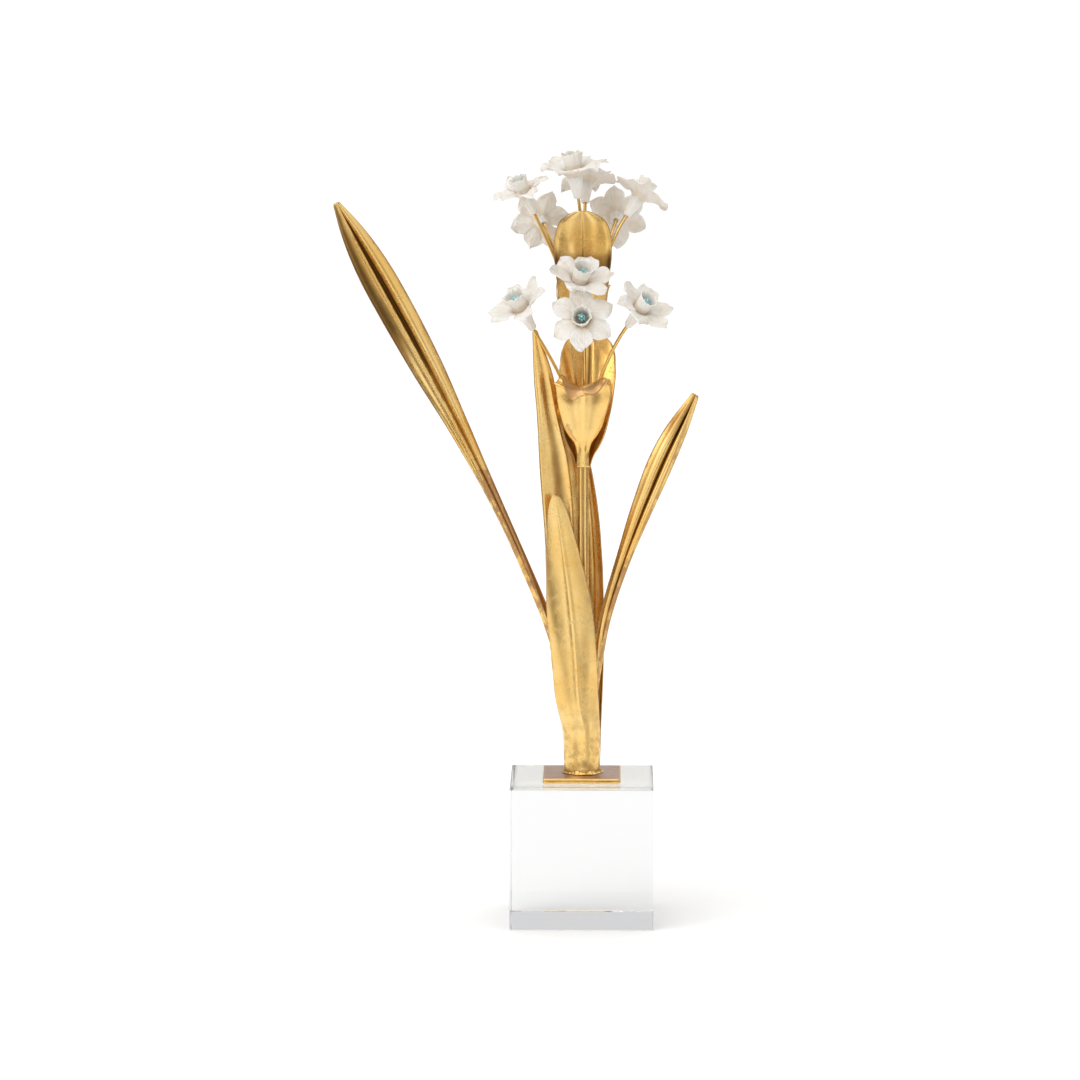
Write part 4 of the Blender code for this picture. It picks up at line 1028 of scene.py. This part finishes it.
def tepal_mesh(draw, settings, reach, flat, sway, layer, narrow):
    """One tepal that grows out of the tube's side: keeled and veined, with ragged edges and a pointed tip."""
    along, across = grid_places(44, 34, 1.3)
    line = keyed(TEPAL_LINE, along) * MM
    root = TEPAL_LINE[0][1] * MM
    beyond = line[:, 0:1] - root
    out = np.clip(beyond / (TEPAL_LINE[-1][1] * MM - root), 0.0, 1.0)
    radius = root + beyond * (reach - root) / (TEPAL_LINE[-1][1] * MM - root)
    half = keyed(TEPAL_HALF_WIDTH, along) * MM * narrow
    grow = np.clip(out * 1.4, 0.0, 1.0)
    seeds = [draw.uniform(0.0, 99.0) for _ in range(4)]
    left, right = (0.09 * wander(coarse, along, 4.0) + 0.05 * wander(fine, along, 17.0)
                   for coarse, fine in (seeds[:2], seeds[2:]))
    ragged = np.where(across < 0.0, left[:, None], right[:, None]) * grow * np.abs(across)
    width = across * half * (1.0 + ragged) + 0.9 * MM * draw.uniform(-1.0, 1.0) * out ** 3
    lift = (1.0 - flat) * 1.2 * reach * out ** 2
    keel = np.sqrt(across ** 2 + 0.006) - 0.077
    crease = 1.25 * MM * keel * np.sin(math.pi * np.clip(out + 0.08, 0.0, 1.0))
    wave = sway * MM * out * np.sin(2.0 * math.pi * out) * across
    phases = draw.uniform(0.0, 6.28), draw.uniform(0.0, 6.28)
    rate = draw.uniform(8.0, 12.0)
    swing = np.where(across < 0.0, np.sin(rate * out + phases[0]), np.sin(rate * out + phases[1]))
    edge_wave = MM * grow * np.abs(across) ** 2.5 * swing
    twist = draw.uniform(-0.9, 0.9) * MM * across * out
    tip = draw.uniform(-1.2, 1.6) * MM * out ** 7 + draw.uniform(-1.6, 1.2) * MM * out ** 2
    dents = np.array([[0.8 * noise.noise(Vector((seeds[0] + 1.9 * a, 1.6 * c, seeds[1])))
                       + 0.30 * noise.noise(Vector((seeds[2] + 4.0 * a, 4.5 * c, seeds[3]))) for c in across[0]]
                      for a in 2.2 * out[:, 0]]) * MM * grow
    notches = np.array([noise.noise(Vector((seeds[1], 2.6 * c, seeds[2]))) for c in across[0]])[None, :]
    veins = settings.vein_height * (np.cos(8.5 * math.pi * across) + 0.5 * np.cos(20.0 * math.pi * across))
    veins = veins * grow * (1.0 - out ** 4)
    height = (settings.tube_length + line[:, 1:2] + lift + layer * grow + crease + wave + edge_wave
              + twist + tip + dents + veins)
    bend = 1.0 - np.clip((radius - root) / (4.5 * MM), 0.0, 1.0)
    curl = np.clip(width / np.maximum(radius, 1e-6), -0.9, 0.9)
    x = radius * (1.0 - bend * (1.0 - np.cos(curl))) + 1.3 * MM * notches * out ** 5
    thickness = settings.tepal_thickness * (0.45 + 0.55 * np.cos(0.5 * math.pi * across)) * (1.0 - 0.35 * out)
    # Painted shade, warmer and darker, at the tepal's foot by the tube, along its keel, between its veins and
    # in its dents.
    foot = window(out, -1.0, 0.30, 0.20)
    keel_line = np.exp(-(across / 0.08) ** 2) * (1.0 - out)
    valleys = np.clip(-veins / settings.vein_height, 0.0, 1.0) * 0.25
    hollow = np.clip(-dents / (0.55 * MM), 0.0, 1.0) * 0.45
    deep = np.clip(0.9 * foot + 0.5 * keel_line + valleys + hollow, 0.0, 1.0)
    points = np.stack([x, width, height], axis=2)
    return sheet_mesh("tepal", points, thickness, {"groove": deep}, flat_map(width, line))


class PAPERWHITE_OT_blooms(Operator):
    """Build the porcelain blooms"""
    bl_idname = "paperwhite.blooms"
    bl_label = "Blooms"

    def execute(self, context):
        settings = context.scene.paperwhite.blooms
        for name, spec in BLOOMS.items():
            foot, facing, roll, flat, size = spec[2:]
            draw = random.Random(name)
            detail = random.Random(f"{name} detail")
            shells = [core_mesh(detail, settings)]
            for number in range(settings.tepal_count):
                reach = settings.tepal_reach * draw.uniform(0.94, 1.03)
                own_flat = flat + draw.uniform(-0.12, 0.10)
                sway = draw.uniform(-1.1, 1.1)
                layer = (-0.45 if number % 2 else 0.45) * MM
                narrow = detail.uniform(0.96, 1.06) * (0.95 if number % 2 else 1.0)
                tepal = tepal_mesh(detail, settings, reach, own_flat, sway, layer, narrow)
                turn = math.radians(60.0 * number + draw.uniform(-4.0, 4.0))
                tepal.transform(Matrix.Rotation(turn, 4, "Z"))
                shells.append(tepal)
            mesh = joined_mesh(shells)
            mesh.transform(placement(foot, facing, roll) @ Matrix.Scale(size, 4))
            add_piece(f"{name}_bloom", "porcelain", mesh, finish_of(bisque_porcelain))
        return {"FINISHED"}


class PAPERWHITE_OT_stamens(Operator):
    """Build the turquoise stamens in the throats"""
    bl_idname = "paperwhite.stamens"
    bl_label = "Stamens"

    def execute(self, context):
        settings = context.scene.paperwhite.blooms
        finish = finish_of(turquoise_glaze)
        for seed, (name, spec) in enumerate(BLOOMS.items()):
            foot, facing, roll, _, size = spec[2:]
            mesh = grown_mesh(bpy.data.meshes.new("empty"), stamen_ring, {
                "Count": settings.stamen_count, "Ring Radius": 1.0 * MM, "Length": settings.stamen_length,
                "Lean": 0.05, "Seed": seed, "Material": finish})
            mesh.shade_smooth()
            floor = Matrix.Translation((0.0, 0.0, THROAT_FLOOR * MM * size))
            mesh.transform(placement(foot, facing, roll) @ floor)
            add_piece(f"{name}_stamens", "glazed", mesh, finish)
        return {"FINISHED"}


class PAPERWHITE_OT_block(Operator):
    """Build the clear block"""
    bl_idname = "paperwhite.block"
    bl_label = "Clear block"

    def execute(self, context):
        low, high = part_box("clear_block")
        bevel = context.scene.paperwhite.base.block_bevel
        mesh = bpy.data.meshes.new("clear_block")
        edit_mesh(
            mesh,
            lambda form: bmesh.ops.create_cube(form, size=1.0),
            lambda form: bmesh.ops.scale(form, verts=form.verts, vec=high - low),
            lambda form: bmesh.ops.translate(form, verts=form.verts, vec=0.5 * (low + high)),
            lambda form: bmesh.ops.bevel(
                form, geom=form.edges, offset=bevel, segments=6, profile=0.5, affect="EDGES"))
        mesh.shade_flat()
        add_piece("clear_block", "polished", mesh, finish_of(clear_crystal))
        return {"FINISHED"}


def rounded_square(half, corner, segments, straight):
    """Points round a square with round corners, and the outward direction at each."""
    points = []
    for quarter in range(4):
        turn = Matrix.Rotation(0.5 * math.pi * quarter, 2)
        for step in range(segments + 1):
            angle = 0.5 * math.pi * step / segments
            out = Vector((math.cos(angle), math.sin(angle)))
            points.append((turn @ (Vector((half - corner, half - corner)) + out * corner), turn @ out))
        for step in range(1, straight):
            place = Vector((half - corner - 2.0 * (half - corner) * step / straight, half))
            points.append((turn @ place, turn @ Vector((0.0, 1.0))))
    return points


class PAPERWHITE_OT_plate(Operator):
    """Build the gilt mounting plate and the solder round the foot of the bundle"""
    bl_idname = "paperwhite.plate"
    bl_label = "Plate and solder"

    def execute(self, context):
        base = context.scene.paperwhite.base
        low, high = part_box("mounting_plate")
        thick = high.z - low.z
        outline = rounded_square(high.x, base.plate_corner, 8, 60)
        rings = []
        for inset, drop in PLATE_EDGE:
            ring = []
            for place, out in outline:
                stray = 0.10 * MM * noise.noise(Vector((place.x * 120.0, place.y * 120.0, drop * 3.0)))
                sag = 0.10 * MM * noise.noise(Vector((place.x * 70.0, place.y * 70.0, 9.0)))
                point = place - out * (inset * MM + max(stray, 0.0))
                ring.append((point.x, point.y, high.z - drop * thick - abs(sag) * (1.0 - drop)))
            rings.append(ring)
        points = np.array(rings)
        seam = np.array([[float(0.45 < drop < 0.56)] for _, drop in PLATE_EDGE])
        mesh = turned_mesh("mounting_plate", points, seam * np.ones(points.shape[:2]), points[:, :, :2])
        mesh.set_sharp_from_angle(angle=math.radians(50))
        add_piece("mounting_plate", "gilded", mesh, finish_of(plate_gold))
        self.solder(base)
        return {"FINISHED"}

    def solder(self, base):
        """The uneven bead of solder, thicker at the right front."""
        low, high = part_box("solder_bead")
        inner = high.x - 1.9 * MM
        rings, sides = 180, 12
        points = np.zeros((rings, sides, 3))
        for ring in range(rings):
            angle = 2.0 * math.pi * ring / rings
            out = Vector((math.cos(angle), math.sin(angle), 0.0))
            lump = noise.noise(out * 2.3) + 0.7 * noise.noise(out * 7.0) + 0.5 * noise.noise(out * 16.0)
            lump += 0.9 * math.exp(-((angle - 5.25) / 0.22) ** 2)
            size = base.bead_width * max(0.72 + 0.55 * lump, 0.3)
            for side in range(sides - 1):
                share = side / (sides - 2)
                height = low.z + 0.95 * size * (1.0 - share) ** 1.7
                points[ring, side] = (*(out * (inner + size * share)).xy, height)
            points[ring, -1] = (*(out * inner).xy, low.z)
        index = np.arange(rings * sides).reshape(rings, sides)
        right, down = np.roll(index, -1, axis=1), np.roll(index, -1, axis=0)
        faces = np.stack([index, down, np.roll(right, -1, axis=0), right], axis=2).reshape(-1, 4)
        mesh = shell_mesh("solder_bead", points, faces.tolist())
        add_piece("solder_bead", "poured", mesh, finish_of(gold_leaf))


def turned_to(direction):
    """The rotation of a lamp or camera that looks in a direction."""
    return direction.to_track_quat("-Z", "Y").to_euler()


class PAPERWHITE_OT_stage(Operator):
    """Build the floor, the lights and the camera"""
    bl_idname = "paperwhite.stage"
    bl_label = "Stage"

    def execute(self, context):
        stage = context.scene.paperwhite.stage
        self.floor(stage)
        self.sky(context, stage)
        for name, settings in LIGHTS.items():
            self.light(context, name, *settings)
        for name, (middle, size) in CLOTHS.items():
            self.cloth(name, middle, size)
        self.camera(context, stage)
        context.scene.view_settings.view_transform = "Standard"
        return {"FINISHED"}

    def floor(self, stage):
        """A wide pale floor, a hair below the block so that the block's underside still mirrors."""
        bpy.ops.mesh.primitive_circle_add(
            vertices=96, radius=0.5 * stage.floor_size, fill_type="NGON", location=(0.0, 0.0, -0.2 * MM))
        floor = bpy.context.object
        floor.name = "floor"
        floor.data.materials.append(finish_of(pale_floor))

    def cloth(self, name, middle, size):
        """One brown cloth on the floor, seen in reflections alone."""
        bpy.ops.mesh.primitive_plane_add(size=1.0, location=(*middle, 2.0 * MM))
        cloth = bpy.context.object
        cloth.name = name
        cloth.scale = (*size, 1.0)
        cloth.data.materials.append(finish_of(brown_cloth))
        for ray in ("camera", "diffuse", "transmission", "shadow"):
            setattr(cloth, f"visible_{ray}", False)

    def sky(self, context, stage):
        """A studio's dome with bright panels: pale overhead, dimmer low down and dimmest at the sides."""
        world = bpy.data.worlds.new("studio")
        world.use_nodes = True
        nodes = Nodes(world.node_tree)
        direction = nodes.add("ShaderNodeTexCoord").outputs["Generated"]
        axes = nodes.axes(direction)
        beside = nodes.ramp(nodes.maths("ABSOLUTE", axes["X"]), 0.45, 0.8)
        level = nodes.coated(
            (0.62, 0.62, 0.63), (nodes.ramp(axes["Z"], 0.1, 0.85), (0.80, 0.80, 0.80)),
            (nodes.times(beside, nodes.ramp(axes["Z"], 0.02, 0.30, 0.75, 0.0)), (0.27, 0.17, 0.09)))
        for towards, fade, full, bright in PANELS.values():
            aim = nodes.add("ShaderNodeVectorMath", {0: direction, 1: Vector(towards).normalized()},
                            operation="DOT_PRODUCT")
            share = nodes.ramp(aim.outputs["Value"], fade, full)
            level = nodes.coated(level, (share, (bright, bright, bright)))
        background = world.node_tree.nodes["Background"]
        nodes.put(level, background.inputs["Color"])
        nodes.put(stage.sky_light, background.inputs["Strength"])
        context.scene.world = world

    def light(self, context, name, place, aim, size, power, colour):
        """One soft light."""
        data = bpy.data.lights.new(name, "AREA")
        data.shape = "DISK"
        data.size = size
        data.energy = power
        data.color = colour
        light = bpy.data.objects.new(name, data)
        light.location = place
        light.rotation_euler = turned_to(Vector(aim) - Vector(place))
        light.visible_camera = False
        context.scene.collection.objects.link(light)

    def camera(self, context, stage):
        """The camera at the photograph's place."""
        data = bpy.data.cameras.new("camera")
        data.lens = stage.camera_lens
        data.sensor_width = 36.0
        data.clip_end = 200.0
        camera = bpy.data.objects.new("camera", data)
        flat = math.cos(stage.camera_elevation)
        back = Vector((math.sin(stage.camera_azimuth) * flat, -math.cos(stage.camera_azimuth) * flat,
                       math.sin(stage.camera_elevation)))
        camera.location = Vector(stage.view_middle) + back * stage.camera_distance
        camera.rotation_euler = turned_to(-back)
        context.scene.collection.objects.link(camera)
        context.scene.camera = camera


class PAPERWHITE_PT_panel(Panel):
    """The ornament's pieces and settings"""
    bl_idname = "PAPERWHITE_PT_panel"
    bl_label = "Paperwhite Ornament"
    bl_space_type = "VIEW_3D"
    bl_region_type = "UI"
    bl_category = "Paperwhite"

    def draw(self, context):
        for operator in OPERATORS:
            self.layout.operator(operator.bl_idname)
        for group in ("sheets", "wires", "blooms", "base", "finishes", "stage"):
            settings = getattr(context.scene.paperwhite, group)
            box = self.layout.box()
            box.label(text=group.capitalize())
            for name in settings.bl_rna.properties.keys():
                if name not in ("rna_type", "name"):
                    box.prop(settings, name)


OPERATORS = (
    PAPERWHITE_OT_block, PAPERWHITE_OT_plate, PAPERWHITE_OT_leaves, PAPERWHITE_OT_stems, PAPERWHITE_OT_bracts,
    PAPERWHITE_OT_pedicels, PAPERWHITE_OT_blooms, PAPERWHITE_OT_stamens, PAPERWHITE_OT_stage,
)
CLASSES = (
    SheetSettings, WireSettings, BloomSettings, BaseSettings, FinishSettings, StageSettings, PaperwhiteSettings,
    *OPERATORS, PAPERWHITE_PT_panel,
)


def register():
    """Register the classes and hang the settings on the scene."""
    for item in CLASSES:
        bpy.utils.register_class(item)
    bpy.types.Scene.paperwhite = PointerProperty(type=PaperwhiteSettings)


def unregister():
    """Take the settings and the classes away again."""
    del bpy.types.Scene.paperwhite
    for item in reversed(CLASSES):
        bpy.utils.unregister_class(item)


def main():
    """Build every piece and the stage."""
    register()
    for operator in OPERATORS:
        group, name = operator.bl_idname.split(".")
        getattr(getattr(bpy.ops, group), name)()
    bpy.context.view_layer.update()


if __name__ == "__main__":
    main()
